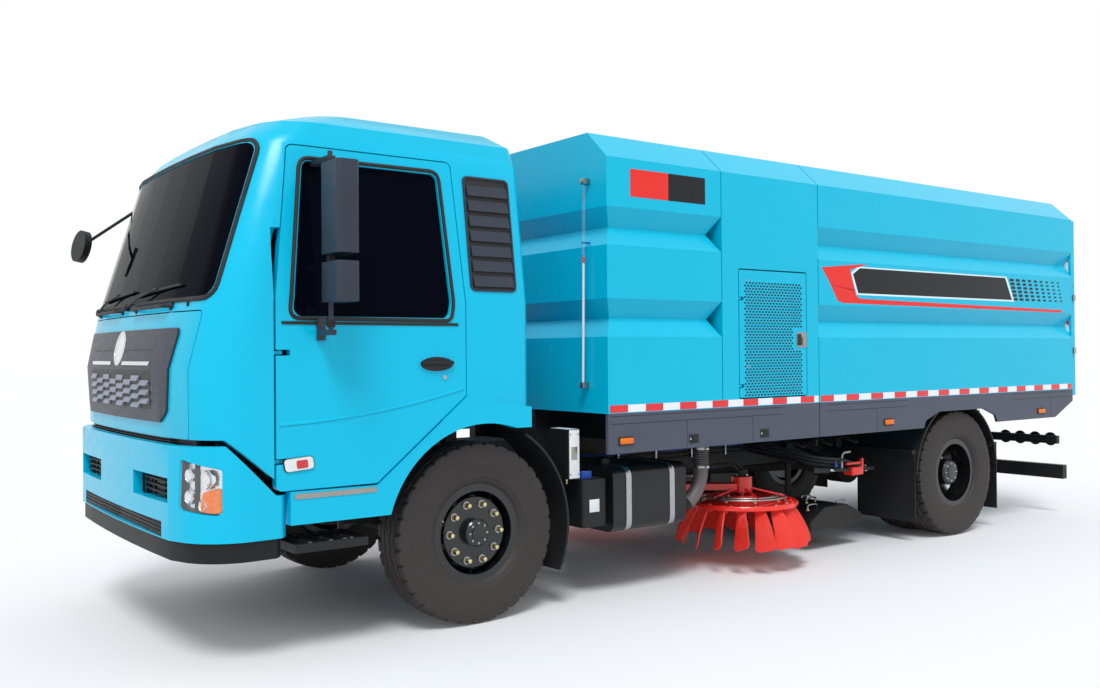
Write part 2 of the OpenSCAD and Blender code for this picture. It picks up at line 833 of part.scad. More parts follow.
module steering_wheel() color(black) {
    along_column() {
        rotate_extrude($fn = 64) translate([205, 0]) circle(r = 15, $fn = 24);
        cylinder(r = 55, h = 40, center = true);
        for (a = [0, 120, 240]) rotate([0, 0, a]) translate([0, -12, -8]) cube([200, 24, 16]);
        translate([0, 0, -190]) cylinder(r = column_r, h = 180);
    }
}

// ---------- front end ----------

module bumper_plan(d, x0) {
    r = 300;
    bulge = 45;
    offset(delta = -d) hull() {
        for (side = [-1, 1]) {
            translate([front_x + front_overhang - bulge - r, side * (cab_hw + 5 - r)]) circle(r = r,
                $fn = 64);
            translate([x0, side * (cab_hw - 20)]) circle(r = 20, $fn = 16);
        }
        for (t = [-0.75:0.25:0.75])
            translate([front_x + front_overhang - 5 - bulge * t * t, t * cab_hw]) circle(r = 5, $fn = 8);
    }
}

// What is cut off where the bumper's top edge falls towards the doors
module bumper_shoulder() {
    side_plate(-cab_hw - 20, cab_hw + 20)
        polygon([[door_front - 80, sill_z - 20], [door_front, sill_z - 20], [front_x + 1500, panel_z - 28],
                 [front_x + 1500, panel_z + 20], [door_front - 80, panel_z + 20]]);
}

module front_bumper() color(cyan) {
    top = panel_z - 30;
    lip_z = 545;
    x0 = front_x + 1230;
    difference() {
        union() {
            difference() {
                translate([0, 0, lip_z + 100]) linear_extrude(top - lip_z - 100) bumper_plan(0, x0);
                translate([0, 0, lip_z - 10]) linear_extrude(800) bumper_plan(50, x0 - 200);
                bumper_shoulder();
            }
            // black lip below
            difference() {
                translate([0, 0, lip_z]) linear_extrude(101) bumper_plan(12, x0 + 20);
                translate([0, 0, lip_z - 10]) linear_extrude(200) bumper_plan(52, x0 - 200);
            }
            // brackets from the frame rails
            both_sides() span([rail_front - 150, frame_w / 2 + rub_gap, rail_z + 30],
                              [front_x + front_overhang - 35, frame_w / 2 + 60, rail_z + 200]);
        }
        // plate recess pockets, lamp pockets and the lower slot
        both_sides() {
            span([front_x + front_overhang - 90, 345, 830], [front_x + front_overhang + 60, 890, 955]);
            cross_plate(front_x + 1300, front_x + front_overhang + 60) lamp_outline(rub_gap);
        }
        span([front_x + front_overhang - 30, -800, 650], [front_x + front_overhang + 60, 800, 730]);
        for (y = [-170, 170], z = [829, 929])
            translate([front_x + front_overhang - 120, y, z]) rotate([0, 90, 0]) cylinder(r = 3.5, h = 200);
    }
}

module lamp_outline(g) {
    offset(delta = g) soft_polygon([[975, 810], [1170, 780], [1170, 1010], [990, 1060]], 20);
}

module headlamps() color("whitesmoke") {
    both_sides() intersection() {
        cross_plate(front_x + 1300, front_x + front_overhang + 60) lamp_outline(0);
        difference() {
            translate([0, 0, 600]) linear_extrude(600) bumper_plan(4, front_x + 1230);
            translate([0, 0, 590]) linear_extrude(620) bumper_plan(46, front_x + 1030);
            bumper_shoulder();
        }
    }
}

module front_mudguards() color(black) both_sides() at_front() {
    // curved shield behind the wheel
    intersection() {
        translate([0, 0, hub_z]) rotate([-90, 0, 0]) difference() {
            translate([0, 0, 800]) cylinder(r = steer_clear + 15, h = 330, $fn = 96);
            translate([0, 0, 799]) cylinder(r = steer_clear, h = 332, $fn = 96);
        }
        span([-steer_clear - 20, 790, 240], [-330, 1140, cab_floor_z - 30]);
    }
    // stay from the frame rail
    span([-steer_clear - 45, frame_w / 2 + rub_gap, 640], [-steer_clear + 12, 900, 690]);
}

module cab_steps() color(black) both_sides() at_front() {
    difference() {
        span([740, 860, 555], [1150, 1190, 600]);
        for (i = [0:5]) span([770 + 60 * i, 890, 540], [805 + 60 * i, 1160, 610]);
    }
    span([740, 860, 599], [765, 885, 800]);
    span([1125, 860, 599], [1150, 885, 800]);
    span([740, frame_w / 2 + rub_gap, 760], [1150, 885, 800]);
}

// ---------- things on the frame's sides ----------

module urea_tank() color(black) {
    tx = box_front + 5;
    span([tx - 125, frame_w / 2 + rub_gap, 620], [tx + 85, 860, 660]);
    translate([tx - 20, 980, 465]) linear_extrude(300) offset(r = 30, $fn = 32) square([140, 180],
        center = true);
    span([tx - 100, 850, 640], [tx + 60, 1000, 670]);
    translate([tx - 20, 980, 764]) cylinder(r = 45, h = 50);
    // white aftertreatment case above the mudguard
    span([tx + 110, 900, 780], [tx + 195, 1100, 1090]);
    span([tx + 120, frame_w / 2 + rub_gap, 800], [tx + 185, 901, 840]);
}

module fuel_tank() color(black) {
    x1 = box_front - 140;
    x0 = x1 - 640;
    translate([x0, 0, 0]) rotate([90, 0, 90]) linear_extrude(x1 - x0)
        translate([850, 620]) offset(r = 60, $fn = 32) square([430, 290], center = true);
    // cradle brackets
    for (x = [x0 + 120, x1 - 120])
        span([x - 30, frame_w / 2 + rub_gap, 700], [x + 30, 590, 760]);
    // filler neck
    translate([x1 - 150, 850, 820]) cylinder(r = 45, h = 40);
}

module battery_box() color(black) {
    x1 = box_front - 60;
    span([x1 - 620, -1130, 480], [x1, -640, 830]);
    span([x1 - 500, -641, 700], [x1 - 120, -frame_w / 2 - rub_gap, 760]);
    // air reservoirs behind it
    for (y = [-520, -700]) bar_x(y, 800, 85, x1 - 1130, x1 - 660);
    span([x1 - 860, -700, 780], [x1 - 800, -frame_w / 2 - rub_gap, 820]);
}

module air_hose() color("gray") {
    hx = box_front - 985;
    hy = 1060;
    bend = 260;
    translate([hx, hy, 760]) cylinder(r = 55, h = sub_z + 90 - 760 - rub_gap);
    translate([hx + bend, hy, 761]) rotate([90, 0, 0])
        rotate_extrude(angle = 62, start = 180, $fn = 64) translate([bend, 0]) circle(r = 50, $fn = 32);
}

// ---------- body ----------

// Cross-section of the body
module body_section(d) {
    polygon([
        [-half_w + d, floor_z + d], [half_w - d, floor_z + d], [half_w - d, side_z - d * 0.4],
        [half_w - slope_w - d * 0.6, roof_z - d], [-half_w + slope_w + d * 0.6, roof_z - d],
        [-half_w + d, side_z - d * 0.4]
    ]);
}

// A groove's outline: distance from the wall against height
module groove_outline(z) {
    polygon([[-groove_d, z], [0, z + groove_half], [20, z + groove_half + 20],
             [20, z - groove_half - 20], [0, z - groove_half]]);
}

// Grooves along both side walls, between two stations
module side_grooves(x0, x1) {
    both_sides() for (z = [groove_hi, groove_lo])
        cross_plate(x0, x1) translate([half_w, 0]) groove_outline(z);
}

// Grooves across the end wall that faces forwards at station x
module end_grooves(x) {
    for (z = [groove_hi, groove_lo])
        side_plate(-half_w - 30, half_w + 30) translate([x, 0]) groove_outline(z);
}

module water_tank() color(cyan) {
    difference() {
        cross_plate(seam1 + panel_gap, box_front) body_section(0);
        side_grooves(seam1, box_front + e);
        end_grooves(box_front);
        mirror([1, 0, 0]) end_grooves(-seam1 - panel_gap);
    }
    both_sides() span([seam1 + 60, rail_y + 5, floor_z - 4.7],
        [box_front - 60, frame_w / 2 - 5, floor_z + 1]);
}

module machine_bay() color(cyan) {
    difference() {
        cross_plate(seam2 + panel_gap, seam1) body_section(0);
        cross_plate(seam2 + panel_gap + bay_wall, seam1 - bay_wall) body_section(bay_wall);
        both_sides() side_plate(half_w - bay_wall - e, half_w + e) service_outline(9);
    }
    both_sides() {
        span([seam2 + 60, rail_y + 5, floor_z - 4.7], [seam1 - 60, frame_w / 2 - 5, floor_z + 1]);
        // hinge pins of the service door
        for (z = [service_z0 + 120, service_z1 - 160]) {
            translate([service_x1 - 12, half_w - 10, z - 45]) cylinder(r = 6, h = 90);
            span([service_x1 - 20, half_w - 40, z - 45], [service_x1 + 12, half_w - 3, z - 33]);
        }
    }
}

module service_outline(g) {
    offset(delta = g) soft_polygon([
        [service_x0, service_z0], [service_x1, service_z0],
        [service_x1, service_z1], [service_x0, service_z1]
    ], 12);
}

module service_leaf() {
    difference() {
        side_plate(half_w - service_t, half_w) service_outline(0);
        for (z = [service_z0 + 120, service_z1 - 160]) {
            translate([service_x1 - 12, half_w - 10, z - 60]) cylinder(r = 6 + pin_clear, h = 120);
            span([service_x1 - 45, half_w - 46, z - 51], [service_x1 + 20, half_w + 5, z - 27]);
        }
    }
}

module left_service_door() color(cyan) service_leaf();
module right_service_door() color(cyan) mirror([0, 1, 0]) service_leaf();

module fan_engine() color("dimgray") {
    base = floor_z + bay_wall + rub_gap;
    span([seam2 + 130, -480, base], [seam1 - 130, 480, base + 640]);
    bar_y((seam1 + seam2) / 2, base + 980, 345, -260, 260);
}

module front_skirts() color(grey) both_sides() {
    side_plate(half_w - skirt_t, half_w)
        polygon([[seam2 + panel_gap, skirt_bottom], [box_front, skirt_bottom],
                 [box_front, floor_z - rub_gap], [seam2 + panel_gap, floor_z - rub_gap]]);
}

module hopper_skirts() color(grey) both_sides() {
    difference() {
        side_plate(half_w - skirt_t, half_w)
            polygon([[tail_x + 75, floor_z - rub_gap], [tail_x + 75, floor_z - 110],
                [tail_x + 400, skirt_bottom],
                     [seam2, skirt_bottom], [seam2, floor_z - rub_gap]]);
        side_plate(half_w - skirt_t - e, half_w + e)
            soft_polygon([[rear_x - 640, skirt_bottom - 200], [rear_x + 640, skirt_bottom - 200],
                          [rear_x + 520, skirt_bottom + 60], [rear_x + 330, skirt_bottom + 125],
                          [rear_x - 330, skirt_bottom + 125], [rear_x - 520, skirt_bottom + 60]], 40);
    }
}

module hopper() color(cyan) {
    back = tail_x + 70;
    difference() {
        union() {
            difference() {
                cross_plate(back, seam2) body_section(0);
                cross_plate(back - e, seam2 - hopper_wall) body_section(hopper_wall);
            }
            // inner linings behind the grooves
            both_sides() for (z = [groove_hi, groove_lo])
                cross_plate(back, seam2 - hopper_wall + e) translate([half_w - hopper_wall, 0])
                    polygon([[1, z + groove_half + 40], [-groove_d, z + 20], [-groove_d, z - 20],
                             [1, z - groove_half - 40]]);
            // hinge plates at the back
            both_sides() {
                span([tip_x - 45, frame_w / 2 + 5, tip_z], [tip_x + 45, frame_w / 2 + 45, floor_z + 5]);
                bar_y(tip_x, tip_z, 45, frame_w / 2 + 5, frame_w / 2 + 45);
                // ears of the tipping ram
                span([lift_eye_x - 50, 62, lift_eye_z - 50], [lift_eye_x + 50, 87, floor_z + 5]);
            }
            // pads on the subframe
            both_sides() span([tip_x + 200, rail_y + 5, floor_z - 4.7],
                [seam2 - 60, frame_w / 2 - 5, floor_z + 1]);
        }
        side_grooves(back - e, seam2 + e);
        both_sides() {
            bar_y(tip_x, tip_z, tip_pin_r + pin_clear, frame_w / 2, frame_w / 2 + 60);
            bar_y(door_hinge_x, door_hinge_z, door_pin_r + pin_clear, 690, 770);
            // notches for the arms of the rear door
            for (y = [640, 760])
                span([back - e, y, door_hinge_z - 50], [door_hinge_x + 60, y + 60, roof_z + e]);
        }
    }
}

module rear_door() color(cyan) {
    t = 65;
    top = door_hinge_z - 35;
    cross_plate(tail_x, tail_x + t) polygon([
        [-half_w + 10, floor_z - 60], [half_w - 10, floor_z - 60], [half_w - 10, side_z - 10],
        [half_w - slope_w + 40, top], [-half_w + slope_w - 40, top], [-half_w + 10, side_z - 10]
    ]);
    both_sides() {
        bar_y(door_hinge_x, door_hinge_z, door_pin_r, 650, 810);
        for (y = [650, 775])
            span([tail_x + t - 25, y, top - e], [door_hinge_x + 18, y + 35, door_hinge_z + 18]);
    }
}

// Tipping ram, drawn at rest between its foot on the frame and the ear on the hopper
lift_angle = atan2(lift_eye_z - lift_z, lift_eye_x - lift_x);
lift_len = norm([lift_eye_x - lift_x, lift_eye_z - lift_z]);

module along_lift() {
    translate([lift_x, 0, lift_z]) rotate([0, -lift_angle, 0]) children();
}

module tip_barrel() color(black) {
    along_lift() difference() {
        union() {
            rotate([-90, 0, 0]) cylinder(r = 48, h = 150, center = true);
            rotate([0, 90, 0]) cylinder(r = lift_r, h = lift_len - 170);
        }
        rotate([-90, 0, 0]) cylinder(r = 20 + pin_clear, h = 260, center = true);
        translate([90, 0, 0]) rotate([0, 90, 0]) cylinder(r = 40 + pin_clear, h = lift_len);
    }
}

module tip_rod() color(steel) {
    along_lift() {
        translate([100, 0, 0]) rotate([0, 90, 0]) cylinder(r = 40, h = lift_len - 130);
        difference() {
            translate([lift_len, 0, 0]) rotate([-90, 0, 0]) cylinder(r = 42, h = 90, center = true);
            translate([lift_len, 0, 0]) rotate([-90, 0, 0]) cylinder(r = 20, h = 120, center = true);
        }
    }
}

module rear_fenders() color(black) both_sides() at_rear() {
    // arched cover over the twin wheels
    inner = tyre_r + 60;
    intersection() {
        translate([0, 0, hub_z]) rotate([-90, 0, 0]) difference() {
            translate([0, 0, 620]) cylinder(r = inner + 14, h = 590, $fn = 96);
            translate([0, 0, 619]) cylinder(r = inner, h = 592, $fn = 96);
        }
        span([-inner - 20, 600, hub_z + 30], [inner + 20, 1230, floor_z - 10]);
    }
    // stays from the frame rail
    for (x = [-inner - 40, inner - 60])
        span([x, frame_w / 2 + rub_gap, hub_z + 190], [x + 100, 1190, hub_z + 225]);
    // mud flaps
    span([-inner - 22, 640, 170], [-inner - 14, 1200, hub_z + 195]);
    span([inner + 14, 640, 170], [inner + 22, 1200, hub_z + 195]);
}

module rear_bars() color(black) {
    // underrun bar
    span([tail_x + 105, -1200, 335], [tail_x + 175, 1200, 465]);
    both_sides() {
        span([tail_x + 115, 380, 464], [tail_x + 165, 420, rail_z + 60]);
        span([tail_x + 115, 380, rail_z + 20], [tail_x + 246, 420, rail_z + 60]);
        span([tail_x + 195, 380, rail_z + 20], [rail_back - rub_gap, 420, rail_z + 110]);
        // lamp bar
        span([tail_x + 195, 380, rail_z + 20], [tail_x + 245, 1180, rail_z + 95]);
    }
}

// ---------- sweeping gear ----------

module broom_arm() {
    difference() {
        union() {
            translate([arm_x, arm_y, disc_z + 62]) cylinder(r = 42, h = 80);
            hull() {
                translate([arm_x, arm_y, disc_z + 75]) cylinder(r = 34, h = 45, $fn = 32);
                translate([broom_x, broom_y, disc_z + 75]) cylinder(r = 60, h = 45, $fn = 32);
            }
            // drive motor
            translate([broom_x, broom_y, disc_z + 60]) cylinder(r = 75, h = 110);
            translate([broom_x, broom_y, disc_z - 10]) cylinder(r = 18, h = 75);
        }
        translate([arm_x, arm_y, disc_z + 50]) cylinder(r = arm_pin_r + pin_clear, h = 200);
    }
}

module broom() {
    paddles = 16;
    difference() {
        union() {
            translate([broom_x, broom_y, disc_z]) cylinder(r = 330, h = 35, $fn = 96);
            translate([broom_x, broom_y, disc_z - 25]) cylinder(r = 90, h = 30);
            // bristle clusters
            for (i = [0:paddles - 1])
                translate([broom_x, broom_y, 0]) rotate([0, 0, i * 360 / paddles])
                    rotate([90, 0, 0]) translate([0, 0, -9]) linear_extrude(18)
                        polygon([[230, disc_z + 1], [325, disc_z + 1], [broom_r, broom_tip_z + 60],
                                 [broom_r - 60, broom_tip_z], [320, broom_tip_z + 40]]);
        }
        translate([broom_x, broom_y, disc_z - 60]) cylinder(r = 18 + pin_clear, h = 200);
    }
}

module left_broom_arm() color(red) broom_arm();
module right_broom_arm() color(red) mirror([0, 1, 0]) broom_arm();
module left_broom() color(red) broom();
module right_broom() color(red) mirror([0, 1, 0]) broom();

module suction_nozzle() color(black) {
    difference() {
        side_plate(-nozzle_w / 2, nozzle_w / 2)
            polygon([[nozzle_x - nozzle_l / 2, nozzle_z], [nozzle_x + nozzle_l / 2, nozzle_z],
                     [nozzle_x + nozzle_l / 2, nozzle_z + 70], [nozzle_x + 140, nozzle_z + nozzle_h],
                     [nozzle_x - 140, nozzle_z + nozzle_h], [nozzle_x - nozzle_l / 2, nozzle_z + 90]]);
        side_plate(-nozzle_w / 2 + 40, nozzle_w / 2 - 40)
            polygon([[nozzle_x - nozzle_l / 2 + 40, nozzle_z - e],
                [nozzle_x + nozzle_l / 2 - 40, nozzle_z - e],
                     [nozzle_x + nozzle_l / 2 - 40, nozzle_z + 60],
                         [nozzle_x + 130, nozzle_z + nozzle_h - 30],
                     [nozzle_x - 130, nozzle_z + nozzle_h - 30],
                         [nozzle_x - nozzle_l / 2 + 40, nozzle_z + 75]]);
        translate([hose_x, hose_y, nozzle_z + 50]) cylinder(r = hose_r - 10, h = nozzle_h);
    }
    difference() {
        translate([hose_x, hose_y, nozzle_z + nozzle_h - e]) cylinder(r = hose_r, h = 60);
        translate([hose_x, hose_y, nozzle_z + 50]) cylinder(r = hose_r - 10, h = nozzle_h + 100);
    }
    // guide rods that slide in sleeves on the frame
    both_sides() span([nozzle_x - guide_t, guide_y, nozzle_z + nozzle_h - e],
                      [nozzle_x + guide_t, guide_y + guide_t, rail_z + 165 + nozzle_drop]);
}

module suction_hose() color("#303034") {
    difference() {
        translate([hose_x, hose_y, nozzle_z + nozzle_h + 60])
            cylinder(r = hose_r + 5, h = floor_z - nozzle_z - nozzle_h - 60.3);
        translate([hose_x, hose_y, nozzle_z + nozzle_h])
            cylinder(r = hose_r - 10, h = floor_z);
    }
}

chassis_frame();
front_axle();
leaf_springs();
rear_axle();
engine_block();
front_bumper();
headlamps();
front_mudguards();
cab_steps();
urea_tank();
fuel_tank();
battery_box();
air_hose();
water_tank();
machine_bay();
fan_engine();
front_skirts();
rear_fenders();
rear_bars();
suction_hose();
left_knuckle();
right_knuckle();
left_front_rim();
left_front_tyre();
right_front_rim();
right_front_tyre();
left_rear_rims();
left_rear_tyres();
right_rear_rims();
right_rear_tyres();
cab_body();
cab_floor();
cab_roof();
front_panel();
grille();
windscreen();
dashboard();
seats();
steering_wheel();
round_mirror();
left_door();
left_door_glass();
left_mirrors();
right_door();
right_door_glass();
right_mirrors();
left_service_door();
right_service_door();
left_broom_arm();
right_broom_arm();
left_broom();
right_broom();
suction_nozzle();
hopper();
hopper_skirts();
rear_door();
tip_barrel();
tip_rod();
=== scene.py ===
"""Street sweeper truck: finishes, fittings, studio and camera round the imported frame."""

import logging
import random
from dataclasses import dataclass, field
from enum import Enum
from functools import partial
from math import cos, exp, hypot, pi, radians, sin, tau
from typing import Callable, ClassVar, Iterable, Sequence

import bmesh
import bpy
from mathutils import Matrix, Vector
from mathutils.bvhtree import BVHTree


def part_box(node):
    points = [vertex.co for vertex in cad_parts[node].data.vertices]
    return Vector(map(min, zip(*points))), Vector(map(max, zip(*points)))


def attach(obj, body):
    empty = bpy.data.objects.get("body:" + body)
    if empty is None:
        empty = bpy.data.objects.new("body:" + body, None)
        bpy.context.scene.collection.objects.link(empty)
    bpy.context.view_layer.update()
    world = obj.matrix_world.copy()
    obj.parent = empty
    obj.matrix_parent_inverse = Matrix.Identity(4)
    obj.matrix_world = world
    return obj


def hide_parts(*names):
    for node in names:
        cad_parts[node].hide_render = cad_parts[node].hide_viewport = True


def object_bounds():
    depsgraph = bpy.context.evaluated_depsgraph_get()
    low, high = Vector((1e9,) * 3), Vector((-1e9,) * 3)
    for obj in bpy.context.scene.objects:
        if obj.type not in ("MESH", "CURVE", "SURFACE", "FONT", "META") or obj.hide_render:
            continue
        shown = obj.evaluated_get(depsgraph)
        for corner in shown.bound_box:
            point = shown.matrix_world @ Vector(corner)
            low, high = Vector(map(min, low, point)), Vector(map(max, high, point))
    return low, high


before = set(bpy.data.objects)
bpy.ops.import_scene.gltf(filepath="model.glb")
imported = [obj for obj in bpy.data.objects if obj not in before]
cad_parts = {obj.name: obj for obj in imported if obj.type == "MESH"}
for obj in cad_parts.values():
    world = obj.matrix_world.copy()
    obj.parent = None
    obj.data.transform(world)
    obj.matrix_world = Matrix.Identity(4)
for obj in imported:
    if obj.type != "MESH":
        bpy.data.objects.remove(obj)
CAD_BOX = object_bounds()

LOG = logging.getLogger("sweeper")
Point = tuple[float, float, float]
Flat = tuple[float, float]
Tree = bpy.types.NodeTree
Socket = bpy.types.NodeSocket
Lift = Callable[[float, float, float], Sequence[float]]

# What several sub-assemblies share: places in metres, the nuts of a wheel, and straight up
FRONT_AXLE_X, REAR_AXLE_X = 2.48, -2.27
WHEEL_NUTS = 10
UP: Point = (0, 0, 1)
BROOM_HUB: Flat = (0.021, 0.88)


class Side(Enum):
    """The two sides of the truck, as the sign of Y."""

    LEFT = 1
    RIGHT = -1

    @property
    def label(self) -> str:
        """Name used in bodies and nodes."""
        return self.name.lower()


# ---- finishes


def linear(hex_colour: str, alpha: float = 1.0) -> tuple[float, float, float, float]:
    """Turns an sRGB hex colour into linear light.

    Args:
        hex_colour: Colour written as "#RRGGBB".
        alpha: Fourth channel.

    Returns:
        Linear red, green, blue and alpha.
    """
    channels = [int(hex_colour[i:i + 2], 16) / 255 for i in (1, 3, 5)]
    lin = [c / 12.92 if c <= 0.04045 else ((c + 0.055) / 1.055) ** 2.4 for c in channels]
    return (lin[0], lin[1], lin[2], alpha)


def add_node(tree: Tree, kind: str, sockets: dict | None = None, **settings: object) -> bpy.types.Node:
    """Adds one node with its settings and its links.

    Args:
        tree: Node tree to add to.
        kind: Shader node type without its "ShaderNode" in front.
        sockets: Input name or index against a value, an output socket, or a node for its first output.
        **settings: Attributes to set on the node.

    Returns:
        The new node.
    """
    node = tree.nodes.new("ShaderNode" + kind)
    for attribute, value in settings.items():
        setattr(node, attribute, value)
    for socket, value in (sockets or {}).items():
        if isinstance(value, bpy.types.Node):
            value = value.outputs[0]
        if isinstance(value, Socket):
            tree.links.new(value, node.inputs[socket])
        else:
            node.inputs[socket].default_value = value
    return node


# The Wave texture counts its bands in radians
WAVE_TURN, THREAD_TURN = 6.2832, 6.28
ROAD_DUST = "#8C857A"
TAPE_SHEET_WHITE, TAPE_SHEET_RED = "#E4E7E9", "#D51422"


def per_mm(size_mm: float) -> float:
    """Texture scale, in features a metre, of a pattern with that spacing in millimetres."""
    return 1000.0 / size_mm


@dataclass(frozen=True)
class Finish:
    """A surface: its base colour, gloss and the fine structure of how it was made.

    Attributes:
        name: Common name of the material.
        colour: sRGB colour.
        shade: Second sRGB colour that drifts in over patches.
        patch_mm: Size of those patches.
        roughness: Middle roughness.
        swing: How far roughness wanders either way.
        metallic: 1 for bare metal.
        ior: Index of refraction.
        coat: Clear coat weight.
        grain_mm: Spacing of the surface grain.
        grain: Depth of the grain, 0 to 1.
        dust: Share of road dust low on the truck.
        level: Strength of the mirror image, 0.5 for a plain dielectric.
    """

    name: str
    colour: str
    shade: str
    patch_mm: float = 400.0
    roughness: float = 0.5
    swing: float = 0.06
    metallic: float = 0.0
    ior: float = 1.5
    coat: float = 0.0
    grain_mm: float = 3.0
    grain: float = 0.15
    dust: float = 0.0
    level: float = 0.5
    built: ClassVar[dict[str, bpy.types.Material]] = {}

    def material(self) -> bpy.types.Material:
        """Builds the material once and returns it.

        Returns:
            The material.
        """
        if self.name not in Finish.built:
            made = bpy.data.materials.new(self.name)
            made.use_nodes = True
            made.node_tree.nodes.clear()
            Finish.built[self.name] = made
            self.build(made.node_tree)
            made.diffuse_color = linear(self.colour)
        return Finish.built[self.name]

    def build(self, tree: Tree) -> None:
        """Fills the node tree of the finish.

        Args:
            tree: Node tree.
        """
        place = add_node(tree, "TexCoord").outputs["Object"]
        colour, rough = self.tone(tree, place)
        shader = add_node(tree, "BsdfPrincipled", {"Base Color": colour, "Roughness": rough, "Metallic": self.metallic,
            "IOR": self.ior, "Coat Weight": self.coat, "Coat Roughness": 0.04, "Specular IOR Level": self.level,
            "Normal": self.relief(tree, place)})
        self.extra(shader)
        add_node(tree, "OutputMaterial", {"Surface": shader.outputs["BSDF"]})

    def extra(self, shader: bpy.types.Node) -> None:
        """Sets what only some finishes have."""

    def tone(self, tree: Tree, place: Socket) -> tuple[Socket, Socket]:
        """Colour and roughness that wander over the surface.

        Args:
            tree: Node tree.
            place: Coordinates in metres.

        Returns:
            Colour socket and roughness socket.
        """
        cloud = add_node(tree, "TexNoise", {"Vector": place, "Scale": per_mm(self.patch_mm), "Detail": 4.0,
            "Roughness": 0.6})
        blend = add_node(tree, "Mix", {0: cloud.outputs["Fac"], 6: linear(self.colour), 7: linear(self.shade)},
            data_type="RGBA")
        fine = add_node(tree, "TexNoise", {"Vector": place, "Scale": per_mm(self.patch_mm / 9), "Detail": 5.0})
        rough = add_node(tree, "MapRange", {"Value": fine.outputs["Fac"], "From Min": 0.3, "From Max": 0.7,
            "To Min": max(0.02, self.roughness - self.swing), "To Max": min(1.0, self.roughness + self.swing)})
        if self.dust <= 0:
            return blend.outputs[2], rough.outputs["Result"]
        height = add_node(tree, "SeparateXYZ", {"Vector": place})
        low = add_node(tree, "MapRange", {"Value": height.outputs["Z"], "From Min": 0.15, "From Max": 1.2,
            "To Min": self.dust, "To Max": 0.0})
        share = add_node(tree, "Math", {0: low, 1: fine.outputs["Fac"]}, operation="MULTIPLY", use_clamp=True)
        dusty = add_node(tree, "Mix", {0: share, 6: blend.outputs[2], 7: linear(ROAD_DUST)}, data_type="RGBA")
        return dusty.outputs[2], rough.outputs["Result"]

    def relief(self, tree: Tree, place: Socket) -> Socket:
        """Bump of the surface grain.

        Args:
            tree: Node tree.
            place: Coordinates in metres.

        Returns:
            Normal socket.
        """
        grain = add_node(tree, "TexNoise", {"Vector": place, "Scale": per_mm(self.grain_mm), "Detail": 3.0})
        bump = add_node(tree, "Bump", {"Height": grain.outputs["Fac"], "Strength": self.grain,
            "Distance": self.grain_mm * 0.0004})
        return bump.outputs["Normal"]


@dataclass(frozen=True)
class Banded(Finish):
    """Paint down to a height, and moulded plastic or rubber below it.

    Attributes:
        below_z: Height in metres where the lower colour ends.
        lower: Colour of the lower part.
        lower_rough: Roughness of the lower part.
    """

    below_z: float = 0.646
    lower: str = "#15181B"
    lower_rough: float = 0.5

    def tone(self, tree: Tree, place: Socket) -> tuple[Socket, Socket]:
        """Switches colour and roughness at the height.

        Args:
            tree: Node tree.
            place: Coordinates in metres.

        Returns:
            Colour socket and roughness socket.
        """
        colour, rough = super().tone(tree, place)
        height = add_node(tree, "SeparateXYZ", {"Vector": place})
        low = add_node(tree, "Math", {0: height.outputs["Z"], 1: self.below_z}, operation="LESS_THAN")
        tint = add_node(tree, "Mix", {0: low, 6: colour, 7: linear(self.lower)}, data_type="RGBA")
        gloss = add_node(tree, "Mix", {0: low, 2: rough, 3: self.lower_rough}, data_type="FLOAT")
        return tint.outputs[2], gloss.outputs[0]


